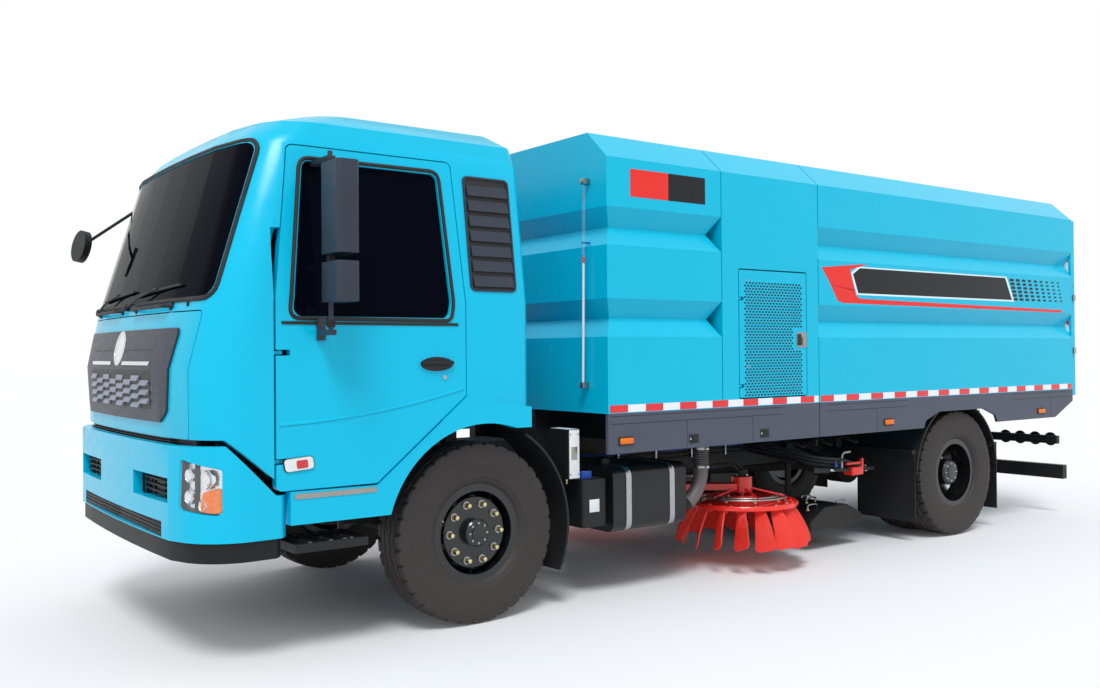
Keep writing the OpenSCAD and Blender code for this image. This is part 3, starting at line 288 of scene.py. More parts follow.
@dataclass(frozen=True)
class TailPaint(Finish):
    """Enamel of the rear door: pressed ribs across it and a frame of reflective segments.

    Attributes:
        segment_mm: Length of one red or white segment.
        foot: Lowest and highest point of the band along the foot, in metres.
        edge: Nearest and farthest point of the side bands from the middle, in metres.
        top: Where the side bands end, in metres.
        rib_mm: Spacing of the pressed ribs.
    """

    segment_mm: float = 150.0
    foot: Flat = (1.245, 1.295)
    edge: Flat = (1.165, 1.215)
    top: float = 2.66
    rib_mm: float = 330.0

    def within(self, tree: Tree, value: Socket, low: float, high: float) -> Socket:
        """1 where a value lies between two limits.

        Args:
            tree: Node tree.
            value: Socket to test.
            low: Lower limit.
            high: Upper limit.

        Returns:
            Socket with 0 or 1.
        """
        above = add_node(tree, "Math", {0: value, 1: low}, operation="GREATER_THAN")
        below = add_node(tree, "Math", {0: value, 1: high}, operation="LESS_THAN")
        return add_node(tree, "Math", {0: above, 1: below}, operation="MULTIPLY").outputs[0]

    def tone(self, tree: Tree, place: Socket) -> tuple[Socket, Socket]:
        """Lays the segments over the enamel.

        Args:
            tree: Node tree.
            place: Coordinates in metres.

        Returns:
            Colour socket and roughness socket.
        """
        colour, rough = super().tone(tree, place)
        part = add_node(tree, "SeparateXYZ", {"Vector": place})
        out = add_node(tree, "Math", {0: part.outputs["Y"]}, operation="ABSOLUTE").outputs[0]
        foot = self.within(tree, part.outputs["Z"], *self.foot)
        inner = self.within(tree, out, -1.0, self.edge[1])
        edge = self.within(tree, out, *self.edge)
        tall = self.within(tree, part.outputs["Z"], self.foot[0], self.top)
        band_a = add_node(tree, "Math", {0: foot, 1: inner}, operation="MULTIPLY")
        band_b = add_node(tree, "Math", {0: edge, 1: tall}, operation="MULTIPLY")
        band = add_node(tree, "Math", {0: band_a, 1: band_b}, operation="MAXIMUM")
        along = add_node(tree, "Math", {0: out, 1: part.outputs["Z"]}, operation="ADD")
        step = add_node(tree, "Math", {0: along, 1: 2 * self.segment_mm / 1000}, operation="MODULO")
        red = add_node(tree, "Math", {0: step, 1: self.segment_mm / 1000}, operation="LESS_THAN")
        sheet = add_node(tree, "Mix", {0: red, 6: linear(TAPE_SHEET_WHITE), 7: linear(TAPE_SHEET_RED)},
            data_type="RGBA")
        laid = add_node(tree, "Mix", {0: band, 6: colour, 7: sheet.outputs[2]}, data_type="RGBA")
        return laid.outputs[2], rough

    def relief(self, tree: Tree, place: Socket) -> Socket:
        """Pressed ribs with flat tops.

        Args:
            tree: Node tree.
            place: Coordinates in metres.

        Returns:
            Normal socket.
        """
        wave = add_node(tree, "TexWave", {"Vector": place, "Scale": per_mm(self.rib_mm) / WAVE_TURN},
            bands_direction="Z", wave_profile="SIN")
        flat = add_node(tree, "MapRange", {"Value": wave.outputs["Fac"], "From Min": 0.62, "From Max": 0.78,
            "To Min": 0.0, "To Max": 1.0}, interpolation_type="SMOOTHSTEP")
        bump = add_node(tree, "Bump", {"Height": flat, "Strength": 0.8, "Distance": 0.02})
        return bump.outputs["Normal"]


@dataclass(frozen=True)
class Glazing(Finish):
    """Toughened glass: a smooth clear body that tints what lies behind it.

    Attributes:
        clear: Share of light that passes.
    """

    clear: float = 1.0

    def extra(self, shader: bpy.types.Node) -> None:
        """Lets light through."""
        shader.inputs["Transmission Weight"].default_value = self.clear


@dataclass(frozen=True)
class ThinClear(Finish):
    """Thin clear moulding: mostly see-through, with the gloss of its outer face.

    Attributes:
        cover: Share of the surface that is seen.
    """

    cover: float = 0.05

    def extra(self, shader: bpy.types.Node) -> None:
        """Sets how much of the surface is seen."""
        shader.inputs["Alpha"].default_value = self.cover


@dataclass(frozen=True)
class Cloth(Finish):
    """Woven seat cloth: crossed threads and a soft sheen at the edges."""

    def extra(self, shader: bpy.types.Node) -> None:
        """Adds the sheen of the fibres."""
        shader.inputs["Sheen Weight"].default_value = 0.35

    def relief(self, tree: Tree, place: Socket) -> Socket:
        """Bump of two crossed sets of threads.

        Args:
            tree: Node tree.
            place: Coordinates in metres.

        Returns:
            Normal socket.
        """
        waves = [add_node(tree, "TexWave", {"Vector": place, "Scale": per_mm(self.grain_mm) / THREAD_TURN,
            "Distortion": 0.6}, bands_direction=way) for way in ("X", "Z")]
        cross = add_node(tree, "Math", {0: waves[0].outputs["Fac"], 1: waves[1].outputs["Fac"]}, operation="MULTIPLY")
        bump = add_node(tree, "Bump", {"Height": cross, "Strength": self.grain, "Distance": 0.001})
        return bump.outputs["Normal"]


@dataclass(frozen=True)
class Bristle(Finish):
    """Extruded polypropylene filaments that fan out from the hub of a disc broom.

    Attributes:
        hub: Distance ahead and to the side of the hub's middle, in metres.
        strands: Waves of the filaments in a full turn.
    """

    hub: Flat = BROOM_HUB
    strands: float = 520.0

    def strand(self, tree: Tree, place: Socket) -> Socket:
        """Height across the filaments, from the angle round the hub.

        Args:
            tree: Node tree.
            place: Coordinates in metres.

        Returns:
            Socket from -1 to 1.
        """
        part = add_node(tree, "SeparateXYZ", {"Vector": place})
        along = add_node(tree, "Math", {0: part.outputs["X"], 1: self.hub[0]}, operation="SUBTRACT")
        size = add_node(tree, "Math", {0: part.outputs["Y"]}, operation="ABSOLUTE")
        across = add_node(tree, "Math", {0: size, 1: self.hub[1]}, operation="SUBTRACT")
        angle = add_node(tree, "Math", {0: across, 1: along}, operation="ARCTAN2")
        turn = add_node(tree, "Math", {0: angle, 1: self.strands}, operation="MULTIPLY")
        wave = add_node(tree, "Math", {0: turn}, operation="SINE")
        return wave.outputs[0]

    def tone(self, tree: Tree, place: Socket) -> tuple[Socket, Socket]:
        """Bundles that differ a little in red, and in how matt they are.

        Args:
            tree: Node tree.
            place: Coordinates in metres.

        Returns:
            Colour socket and roughness socket.
        """
        _, rough = super().tone(tree, place)
        share = add_node(tree, "MapRange", {"Value": self.strand(tree, place), "From Min": -1.0, "From Max": 1.0,
            "To Min": 0.0, "To Max": 0.55})
        blend = add_node(tree, "Mix", {0: share, 6: linear(self.colour), 7: linear(self.shade)}, data_type="RGBA")
        return blend.outputs[2], rough

    def relief(self, tree: Tree, place: Socket) -> Socket:
        """Ridges along the filaments."""
        bump = add_node(tree, "Bump", {"Height": self.strand(tree, place), "Strength": 0.5, "Distance": 0.0015})
        return bump.outputs["Normal"]


@dataclass(frozen=True)
class Reflector(Finish):
    """Retroreflective sheet: sealed cells under a clear film, drawn at twice their size so that they show.

    Attributes:
        cell_mm: Spacing of the cells as drawn.
    """

    cell_mm: float = 9.0

    def relief(self, tree: Tree, place: Socket) -> Socket:
        """Raised seams of the cells.

        Args:
            tree: Node tree.
            place: Coordinates in metres.

        Returns:
            Normal socket.
        """
        cells = add_node(tree, "TexVoronoi", {"Vector": place, "Scale": per_mm(self.cell_mm)},
            feature="DISTANCE_TO_EDGE")
        bump = add_node(tree, "Bump", {"Height": cells.outputs["Distance"], "Strength": 0.25, "Distance": 0.0008})
        return bump.outputs["Normal"]


# Two-pack enamel in cyan blue, sprayed: even gloss; orange peel of some 7 mm, drawn three times coarser to show
ENAMEL = Finish("cyan_two_pack_enamel", "#00B0D2", "#00B8DA", 900, 0.24, 0.04, grain_mm=22, grain=0.012, level=0.24)
# The same enamel on the pressed rear door, with reflective segments along its edges
TAIL_ENAMEL = TailPaint("ribbed_cyan_enamel", "#00B0D2", "#00B8DA", 900, 0.24, 0.04, level=0.24)
# The same enamel a touch lighter and with a finer grain, on the cab and doors, as on the bumper
CAB_ENAMEL = Finish("lighter_cyan_cab_enamel", "#00B3D8", "#00BADF", 700, 0.24, 0.05, grain_mm=22, grain=0.006,
    level=0.24)
# Bumper: enamelled above, black moulded lip below
BUMPER_ENAMEL = Banded("enamel_over_black_lip", "#00B3D8", "#00BADF", 700, 0.24, 0.05, grain_mm=22, grain=0.006,
    level=0.24, below_z=0.6455)
# Intake: zinc-plated pipe above, smoke-grey hose below
HOSE_BANDED = Banded("plated_pipe_over_hose", "#8F8D8C", "#7C7A79", 60, 0.34, 0.08, grain_mm=6, grain=0.2, below_z=0.9,
    lower="#5E5759", lower_rough=0.45)
# Slate-grey powder coat on the skirts: satin, fine even texture
SKIRT = Finish("slate_powder_coat", "#454B59", "#4B5160", 500, 0.42, 0.05, grain_mm=6, grain=0.12, dust=0.05,
    level=0.28)
# Black chassis paint over hot-rolled steel: satin, patchy, dusty
CHASSIS = Finish("black_chassis_paint", "#0E0F12", "#15161A", 220, 0.48, 0.12, grain_mm=9, grain=0.3, dust=0.08,
    level=0.3)
# Dark primer on spring leaves and cast parts: matt with cast grain
CASTING = Finish("primed_cast_iron", "#151618", "#1E1E1F", 120, 0.7, 0.1, grain_mm=5, grain=0.45, dust=0.12, level=0.3)
# Engine and gearbox aluminium, dulled
ENGINE = Finish("dulled_cast_aluminium", "#4A4B4D", "#36373A", 150, 0.6, 0.1, metallic=0.6, grain_mm=5, grain=0.4)
# Grained black polypropylene of guards, steps and mirror backs
BLACK_PP = Finish("grained_black_polypropylene", "#0F1115", "#16181C", 200, 0.55, 0.07, grain_mm=3.5, grain=0.35,
    dust=0.04, level=0.35)
# Satin slate ABS of grille, louvres and mirror heads
SLATE_ABS = Finish("slate_moulded_abs", "#2B313C", "#333947", 300, 0.4, 0.05, grain_mm=3, grain=0.12, level=0.28)
# The same ABS painted lighter on slats that face the sky, as painted light from the sky on their tops
SLAT = Finish("slate_abs_with_painted_skylight", "#6F7787", "#7A8293", 300, 0.35, 0.05, grain_mm=3, grain=0.12, level=0.5)
# Satin black ABS of bezels, dividers and seams; the same black also stands as painted shade behind slats, in holes and
# in pockets
BLACK_ABS_AND_PAINTED_SHADE = Finish("black_abs_and_painted_shade", "#0B0C0F", "#121317", 200, 0.5, 0.06, grain_mm=3, grain=0.2)
# Holes of a punched sheet, seen as deep blue shadow
MESH_HOLE = Finish("shadow_behind_punched_sheet", "#06283E", "#041C2D", 60, 0.75, 0.05, grain_mm=6, grain=0.1)
# Painted steel tank, black semi-gloss
TANK = Finish("black_tank_enamel", "#0D0F13", "#13151A", 260, 0.35, 0.08, grain_mm=10, grain=0.1, dust=0.03, level=0.4)
# Brown-black natural rubber tread compound with bloom and dust
TYRE = Finish("bloomed_tyre_rubber", "#231F20", "#2B2627", 90, 0.62, 0.08, grain_mm=4, grain=0.25, dust=0.1, level=0.4)
# Soft black rubber of seals, flaps and hoses, matt
RUBBER = Finish("black_extruded_rubber", "#121214", "#1A1A1C", 120, 0.62, 0.08, grain_mm=4, grain=0.25)
# Smoke-grey spiral hose, translucent with age
SMOKE_HOSE = Finish("smoke_pvc_hose", "#6B6469", "#7E767B", 80, 0.38, 0.08, coat=0.2, grain_mm=10, grain=0.2)
# Wheel enamel: gloss black on pressed steel
WHEEL = Finish("black_wheel_enamel", "#0E0F12", "#15161A", 200, 0.22, 0.05, coat=0.3, grain_mm=14, grain=0.04)
# Yellow-passivated wheel nuts
NUT = Finish("yellow_passivated_steel", "#E4D9AE", "#CDBB84", 30, 0.32, 0.08, metallic=1.0, grain_mm=2, grain=0.1)
# Zinc-plated clamps, brackets and bars
ZINC = Finish("zinc_plated_steel", "#B9BCBF", "#9FA3A7", 60, 0.34, 0.08, metallic=1.0, grain_mm=3, grain=0.12)
# Hard chrome of trim strips and ram rods
CHROME = Finish("hard_chrome", "#DDE0E3", "#D2D5D9", 200, 0.1, 0.03, metallic=1.0, grain_mm=12, grain=0.02)
# Brushed stainless strip
BRUSHED = Finish("brushed_stainless", "#A9A9A6", "#96958F", 60, 0.36, 0.06, metallic=1.0, grain_mm=2, grain=0.15)
# Signal-red enamel of the broom discs and arms
RED_ENAMEL = Finish("signal_red_enamel", "#E0180F", "#EA241A", 300, 0.3, 0.06, coat=0.3, grain_mm=10, grain=0.08,
    dust=0.06)
# Red polypropylene filaments
BRISTLE = Bristle("red_polypropylene_bristle", "#EE3426", "#C81D14", 200, 0.5, 0.08)
# Tinted windscreen and door glass, near black from outside; a low index keeps the pale backdrop off it
GLASS = Glazing("tinted_toughened_glass", "#060A18", "#050812", 900, 0.03, 0.01, ior=1.12, grain_mm=300, grain=0.01,
    clear=0.25, level=0.1)
# Clear polycarbonate lamp lens
LENS = ThinClear("clear_polycarbonate_lens", "#F2F5F7", "#F2F5F7", 500, 0.05, 0.02, grain_mm=30, grain=0.05)
# Amber, red and orange lenses: dyed acrylic
AMBER = Finish("amber_dyed_acrylic", "#C84603", "#F28A0C", 26, 0.15, 0.04, grain_mm=12, grain=0.4, level=0.35)
RED_LENS = Finish("red_dyed_acrylic", "#B8121A", "#D01C22", 20, 0.15, 0.04, coat=0.6, grain_mm=6, grain=0.3)
# Lamp bowl: aluminised plastic
BOWL = Finish("aluminised_reflector", "#F3F5F7", "#D5D8DC", 24, 0.12, 0.05, metallic=1.0, grain_mm=16, grain=0.5)
# Silvered mirror glass
MIRROR = Finish("silvered_mirror", "#C9CED2", "#C9CED2", 500, 0.03, 0.01, metallic=1.0, grain_mm=200, grain=0.01)
# Reflective sheets, red and white
TAPE_RED = Reflector("red_reflective_sheet", "#E01323", "#CF0F1E", 60, 0.35, 0.05, coat=0.4)
TAPE_WHITE = Reflector("white_reflective_sheet", "#E9ECEE", "#DADFE3", 60, 0.35, 0.05, coat=0.4)
# Cut vinyl film for the stripes
VINYL_BLACK = Finish("black_vinyl_film", "#121419", "#181A20", 300, 0.3, 0.04, grain_mm=20, grain=0.03, level=0.25)
VINYL_RED = Finish("red_vinyl_film", "#DE2A26", "#E4332D", 300, 0.3, 0.04, grain_mm=20, grain=0.03, level=0.25)
VINYL_WHITE = Finish("white_vinyl_film", "#D9ECF2", "#CFE6EE", 300, 0.3, 0.04, grain_mm=20, grain=0.03, level=0.25)
# White powder-coated case and labels
WHITE = Finish("white_powder_coat", "#DFE2E4", "#CFD3D6", 150, 0.45, 0.06, coat=0.1, grain_mm=6, grain=0.1)
# Blue cap and cable ties, moulded nylon
BLUE = Finish("blue_moulded_nylon", "#1D4FA8", "#2459B5", 60, 0.4, 0.06, grain_mm=3, grain=0.15)
# Cabin mouldings, grained; seat cloth with threads of 1 mm, drawn four times coarser to show
TRIM = Finish("cabin_grained_plastic", "#26282C", "#2E3035", 200, 0.6, 0.06, grain_mm=3, grain=0.35)
SEAT_CLOTH = Cloth("woven_seat_cloth", "#33363D", "#292B31", 60, 0.85, 0.05, grain_mm=4, grain=0.6)


# ---- shapes


@dataclass
class Shape:
    """Points and faces of one solid, before it is given a finish."""

    points: list[Vector] = field(default_factory=list)
    faces: list[tuple[int, ...]] = field(default_factory=list)

    def moved(self, place: Matrix) -> "Shape":
        """The same shape after a placement.

        Args:
            place: Placement matrix.

        Returns:
            The moved copy.
        """
        flip = place.determinant() < 0
        faces = [tuple(reversed(f)) for f in self.faces] if flip else list(self.faces)
        return Shape([place @ p for p in self.points], faces)

    def mirrored(self) -> "Shape":
        """The shape on the other side of the truck."""
        return self.moved(Matrix.Diagonal((1, -1, 1, 1)))


def soft_block(low: Sequence[float], high: Sequence[float], radius: float = 0.003, segments: int = 2) -> Shape:
    """A block with rounded edges.

    Args:
        low: Lowest corner in metres.
        high: Highest corner.
        radius: Edge radius.
        segments: Steps round each edge.

    Returns:
        The shape.
    """
    lo, hi = Vector(map(min, low, high)), Vector(map(max, low, high))
    work = bmesh.new()
    bmesh.ops.create_cube(work, size=1.0)
    for v in work.verts:
        v.co = Vector(lo[i] + (v.co[i] + 0.5) * (hi[i] - lo[i]) for i in range(3))
    radius = min(radius, 0.45 * min(hi[i] - lo[i] for i in range(3)))
    if radius > 0.0002:
        bmesh.ops.bevel(work, geom=list(work.edges), offset=radius, segments=segments, profile=0.5, affect="EDGES",
            clamp_overlap=True)
    shape = from_bmesh(work)
    work.free()
    return shape


def from_bmesh(work: bmesh.types.BMesh) -> Shape:
    """Copies a bmesh into a shape."""
    work.verts.index_update()
    return Shape([v.co.copy() for v in work.verts], [tuple(v.index for v in f.verts) for f in work.faces])


def axis_frame(direction: Vector) -> Matrix:
    """Rotation that carries +Z onto a direction."""
    return direction.to_track_quat("Z", "Y").to_matrix().to_4x4()


def turned(profile: Sequence[Flat], origin: Sequence[float], axis: Sequence[float] = UP, steps: int = 32) -> Shape:
    """A turned solid.

    Args:
        profile: Radius and height pairs along the outline.
        origin: Where height zero lies.
        axis: Direction of height.
        steps: Facets round.

    Returns:
        The shape; ends of zero radius close it.
    """
    points: list[Vector] = []
    rows: list[list[int]] = []
    for r, h in profile:
        if r < 1e-6:
            points.append(Vector((0, 0, h)))
            rows.append([len(points) - 1] * steps)
        else:
            first = len(points)
            points += [Vector((r * cos(tau * k / steps), r * sin(tau * k / steps), h)) for k in range(steps)]
            rows.append(list(range(first, first + steps)))
    faces = []
    for a, b in zip(rows, rows[1:]):
        for k in range(steps):
            ring = [a[k], a[(k + 1) % steps], b[(k + 1) % steps], b[k]]
            unique = tuple(dict.fromkeys(ring))
            if len(unique) > 2:
                faces.append(unique)
    place = Matrix.Translation(Vector(origin)) @ axis_frame(Vector(axis).normalized())
    return Shape(points, faces).moved(place)


def swept(path: Sequence[Sequence[float]], radius: float | Callable[[float], float], sides: int = 10,
        closed: bool = False) -> Shape:
    """A round bar or tube along a path.

    Args:
        path: Points in metres.
        radius: Radius, or a function of the share of the path.
        sides: Facets round.
        closed: Whether the path is a loop.

    Returns:
        The shape, capped if open.
    """
    line = [Vector(p) for p in path]
    n = len(line)
    points: list[Vector] = []
    up = Vector(UP)
    for i, p in enumerate(line):
        ahead = line[(i + 1) % n] if closed or i < n - 1 else p
        behind = line[i - 1] if closed or i > 0 else p
        tangent = (ahead - behind).normalized()
        if abs(tangent.dot(up)) > 0.95:
            up = Vector((1, 0, 0)) if abs(tangent.x) < 0.9 else Vector((0, 1, 0))
        across = tangent.cross(up).normalized()
        up = across.cross(tangent).normalized()
        r = radius(i / max(1, n - 1)) if callable(radius) else radius
        points += [p + r * (cos(tau * k / sides) * across + sin(tau * k / sides) * up) for k in range(sides)]
    faces: list[tuple[int, ...]] = []
    for i in range(n if closed else n - 1):
        a, b = i * sides, ((i + 1) % n) * sides
        faces += [(a + k, a + (k + 1) % sides, b + (k + 1) % sides, b + k) for k in range(sides)]
    if not closed:
        faces.append(tuple(range(sides - 1, -1, -1)))
        faces.append(tuple(range((n - 1) * sides, n * sides)))
    return Shape(points, faces)


def curve(points: Sequence[Sequence[float]], steps: int = 6) -> list[Vector]:
    """A smooth line through points.

    Args:
        points: Points the line passes.
        steps: Pieces between two of them.

    Returns:
        Points along the line.
    """
    p = [Vector(q) for q in points]
    p = [2 * p[0] - p[1]] + p + [2 * p[-1] - p[-2]]
    out = []
    for i in range(1, len(p) - 2):
        for k in range(steps):
            t = k / steps
            out.append(0.5 * ((2 * p[i]) + (p[i + 1] - p[i - 1]) * t + (2 * p[i - 1] - 5 * p[i] + 4 * p[i + 1]
                - p[i + 2]) * t * t + (3 * p[i] - p[i - 1] - 3 * p[i + 1] + p[i + 2]) * t ** 3))
    return out + [p[-2]]


def slab(outline: Sequence[Flat], lift: Lift, depth: float, cell: float = 0.0) -> Shape:
    """A flat outline laid on a surface and given a thickness.

    Args:
        outline: Corner points of the outline.
        lift: Turns two flat coordinates and a height into a point.
        depth: Thickness above the surface.
        cell: Longest edge of the faces on a curved surface, 0 for a flat one.

    Returns:
        The shape.
    """
    work = bmesh.new()
    ring = [work.verts.new((u, v, 0)) for u, v in outline]
    work.faces.new(ring)
    if cell > 0:
        us, vs = [u for u, _ in outline], [v for _, v in outline]
        for values, normal, at in ((us, (1, 0, 0), 0), (vs, (0, 1, 0), 1)):
            count = int((max(values) - min(values)) / cell)
            for i in range(1, count + 1):
                spot = [0.0, 0.0, 0.0]
                spot[at] = min(values) + i * (max(values) - min(values)) / (count + 1)
                bmesh.ops.bisect_plane(work, geom=list(work.verts) + list(work.edges) + list(work.faces),
                    plane_co=spot, plane_no=normal)
    flat = from_bmesh(work)
    loops = {l.vert.index: l.link_loop_next.vert.index for e in work.edges if e.is_boundary for l in e.link_loops}
    work.free()
    n = len(flat.points)
    low = [Vector(lift(p.x, p.y, 0.0)) for p in flat.points]
    high = [Vector(lift(p.x, p.y, depth)) for p in flat.points]
    faces = [tuple(i + n for i in f) for f in flat.faces] + [tuple(reversed(f)) for f in flat.faces]
    faces += [(b + n, a + n, a, b) for a, b in loops.items()]
    return Shape(low + high, faces)


class Piece:
    """One piece of the visual model, gathered solid by solid, each in its own finish."""

    count: ClassVar[int] = 0

    def __init__(self, name: str, body: str) -> None:
        """Starts an empty piece that rides on a body.

        Args:
            name: Name of the piece.
            body: Body that carries it.
        """
        self.name, self.body = name, body
        self.points: list[Vector] = []
        self.faces: list[tuple[int, ...]] = []
        self.marks: list[int] = []
        self.finishes: list[Finish] = []

    def add(self, finish: Finish, *shapes: Shape) -> "Piece":
        """Adds solids in one finish.

        Args:
            finish: Their finish.
            *shapes: The solids.

        Returns:
            The piece itself.
        """
        if finish not in self.finishes:
            self.finishes.append(finish)
        mark = self.finishes.index(finish)
        for shape in shapes:
            start = len(self.points)
            self.points += shape.points
            self.faces += [tuple(i + start for i in f) for f in shape.faces]
            self.marks += [mark] * len(shape.faces)
        return self

    def both(self, finish: Finish, *shapes: Shape) -> "Piece":
        """Adds solids and their mirror images across the truck."""
        return self.add(finish, *shapes, *[s.mirrored() for s in shapes])

    def done(self, slot: str, crease_deg: float = 38.0, replaces: Sequence[str] = ()) -> bpy.types.Object:
        """Makes the object.

        Args:
            slot: Not used.
            crease_deg: Edges sharper than this stay sharp.
            replaces: CAD nodes that the piece stands for.

        Returns:
            The object, riding on its body.
        """
        mesh = bpy.data.meshes.new(self.name)
        mesh.from_pydata([tuple(p) for p in self.points], [], self.faces)
        for finish in self.finishes:
            mesh.materials.append(finish.material())
        for face, mark in zip(mesh.polygons, self.marks):
            face.material_index = mark
            face.use_smooth = True
        work = bmesh.new()
        work.from_mesh(mesh)
        bmesh.ops.recalc_face_normals(work, faces=list(work.faces))
        for edge in work.edges:
            if len(edge.link_faces) == 2 and edge.calc_face_angle(0.0) > radians(crease_deg):
                edge.smooth = False
        work.to_mesh(mesh)
        work.free()
        obj = bpy.data.objects.new(self.name, mesh)
        bpy.context.scene.collection.objects.link(obj)
        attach(obj, self.body)
        if replaces:
            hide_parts(*replaces)
        Piece.count += 1
        LOG.info("%s: %d faces on %s", self.name, len(self.faces), self.body)
        return obj


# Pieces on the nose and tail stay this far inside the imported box
BOX_GAP = 0.0004


class Skin:
    """Finds points on the outside of the frame's own solids."""

    def __init__(self, *nodes: str) -> None:
        """Gathers the faces of some nodes.

        Args:
            *nodes: Names of CAD nodes.
        """
        points: list[Vector] = []
        faces: list[tuple[int, ...]] = []
        for name in nodes:
            mesh = bpy.data.objects[name].data
            start = len(points)
            points += [v.co.copy() for v in mesh.vertices]
            faces += [tuple(i + start for i in p.vertices) for p in mesh.polygons]
        self.tree = BVHTree.FromPolygons(points, faces)

    def hit(self, start: Sequence[float], way: Sequence[float]) -> Vector | None:
        """First point met from a start along a direction, or nothing."""
        return self.tree.ray_cast(Vector(start), Vector(way))[0]

    def front(self, y: float, z: float, proud: float = 0.0) -> Vector:
        """Point on the face that looks forwards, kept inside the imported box.

        Args:
            y: Y to look at.
            z: Z to look at.
            proud: Distance in front of the face.

        Returns:
            The point.
        """
        met = self.hit((6, y, z), (-1, 0, 0))
        x = (met.x if met else 4.0) + proud
        return Vector((min(x, CAD_BOX[1][0] - BOX_GAP), y, z))

    def sunk(self, depth: float) -> Lift:
        """Lift for a slab that starts that deep behind the front face."""
        return lambda u, v, h: self.front(u, v, h - depth)

    def upright(self, level: float, depth: float) -> Lift:
        """Lift for upright strips that deep behind the front face as it is at one level."""
        return lambda u, v, h: self.front(u, level, h - depth) + Vector((0, 0, v - level))

    def side(self, x: float, z: float, proud: float = 0.0, sign: int = 1) -> Vector:
        """Point on the face that looks sideways.

        Args:
            x: X to look at.
            z: Z to look at.
            proud: Distance outside the face.
            sign: 1 on the left, -1 on the right.

        Returns:
            The point.
        """
        met = self.hit((x, sign * 3, z), (0, -sign, 0))
        y = abs(met.y) if met else 1.2
        return Vector((x, sign * (y + proud), z))

    def back(self, y: float, z: float, proud: float = 0.0) -> Vector:
        """Point on the face that looks backwards.

        Args:
            y: Y to look at.
            z: Z to look at.
            proud: Distance behind the face.

        Returns:
            The point.
        """
        met = self.hit((-6, y, z), (1, 0, 0))
        x = (met.x if met else -4.1) - proud
        return Vector((max(x, CAD_BOX[0][0] + BOX_GAP), y, z))


def loop_through(corners: Sequence[Flat], radius: float, step: float = 0.06) -> list[Flat]:
    """Outline with rounded corners and short straight pieces.

    Args:
        corners: Corner points in order.
        radius: Corner radius.
        step: Longest straight piece.

    Returns:
        Points of the loop.
    """
    out: list[Flat] = []
    n = len(corners)
    for i in range(n):
        before, here, after = (Vector(corners[j % n]) for j in (i - 1, i, i + 1))
        a, b = (before - here).normalized(), (after - here).normalized()
        reach = min(radius, 0.4 * (before - here).length, 0.4 * (after - here).length)
        start, end = here + a * reach, here + b * reach
        for k in range(6):
            t = k / 5
            out.append(tuple((1 - t) ** 2 * start + 2 * t * (1 - t) * here + t * t * end))
        next_after = Vector(corners[(i + 2) % n])
        far = after + (here - after).normalized() * min(radius, 0.4 * (after - here).length,
            0.4 * (next_after - after).length)
        count = int((far - end).length / step)
        out += [tuple(end.lerp(far, (k + 1) / (count + 1))) for k in range(count)]
    return out


def rect(x0: float, z0: float, x1: float, z1: float) -> list[Flat]:
    """Outline of a rectangle between two corners."""
    return [(x0, z0), (x1, z0), (x1, z1), (x0, z1)]


def disc(radius: float, thick: float, spot: Point, axis: Point, steps: int) -> Shape:
    """A flat round head."""
    return turned([(radius, 0), (radius, thick), (0, thick)], spot, axis, steps)


def oval(centre: Flat, half_u: float, half_v: float, steps: int = 36) -> list[Flat]:
    """Outline of an oval."""
    return [(centre[0] + half_u * cos(t), centre[1] + half_v * sin(t)) for t in (tau * k / steps
        for k in range(steps))]


def ring_of(count: int, radius: float) -> Iterable[tuple[float, float, float]]:
    """Angle, cosine and sine, times the radius, of points round a circle.

    Args:
        count: Number of points.
        radius: Radius of the circle.

    Returns:
        Triples, one for each point.
    """
    for k in range(count):
        a = tau * k / count
        yield a, radius * cos(a), radius * sin(a)


def hexagon(centre: Sequence[float], axis: Sequence[float], size: float, height: float) -> Shape:
    """A hexagon nut with its stud standing out a little.

    Args:
        centre: Middle of its seat.
        axis: Direction it stands in.
        size: Width across its corners.
        height: Height of the nut.

    Returns:
        The shape.
    """
    r = size / 2
    return turned([(0, 0), (r, 0), (r, height * 0.8), (r * 0.85, height), (r * 0.45, height),
        (r * 0.45, height * 1.35), (0, height * 1.4)], centre, axis, 6)


# ---- carried-over nodes


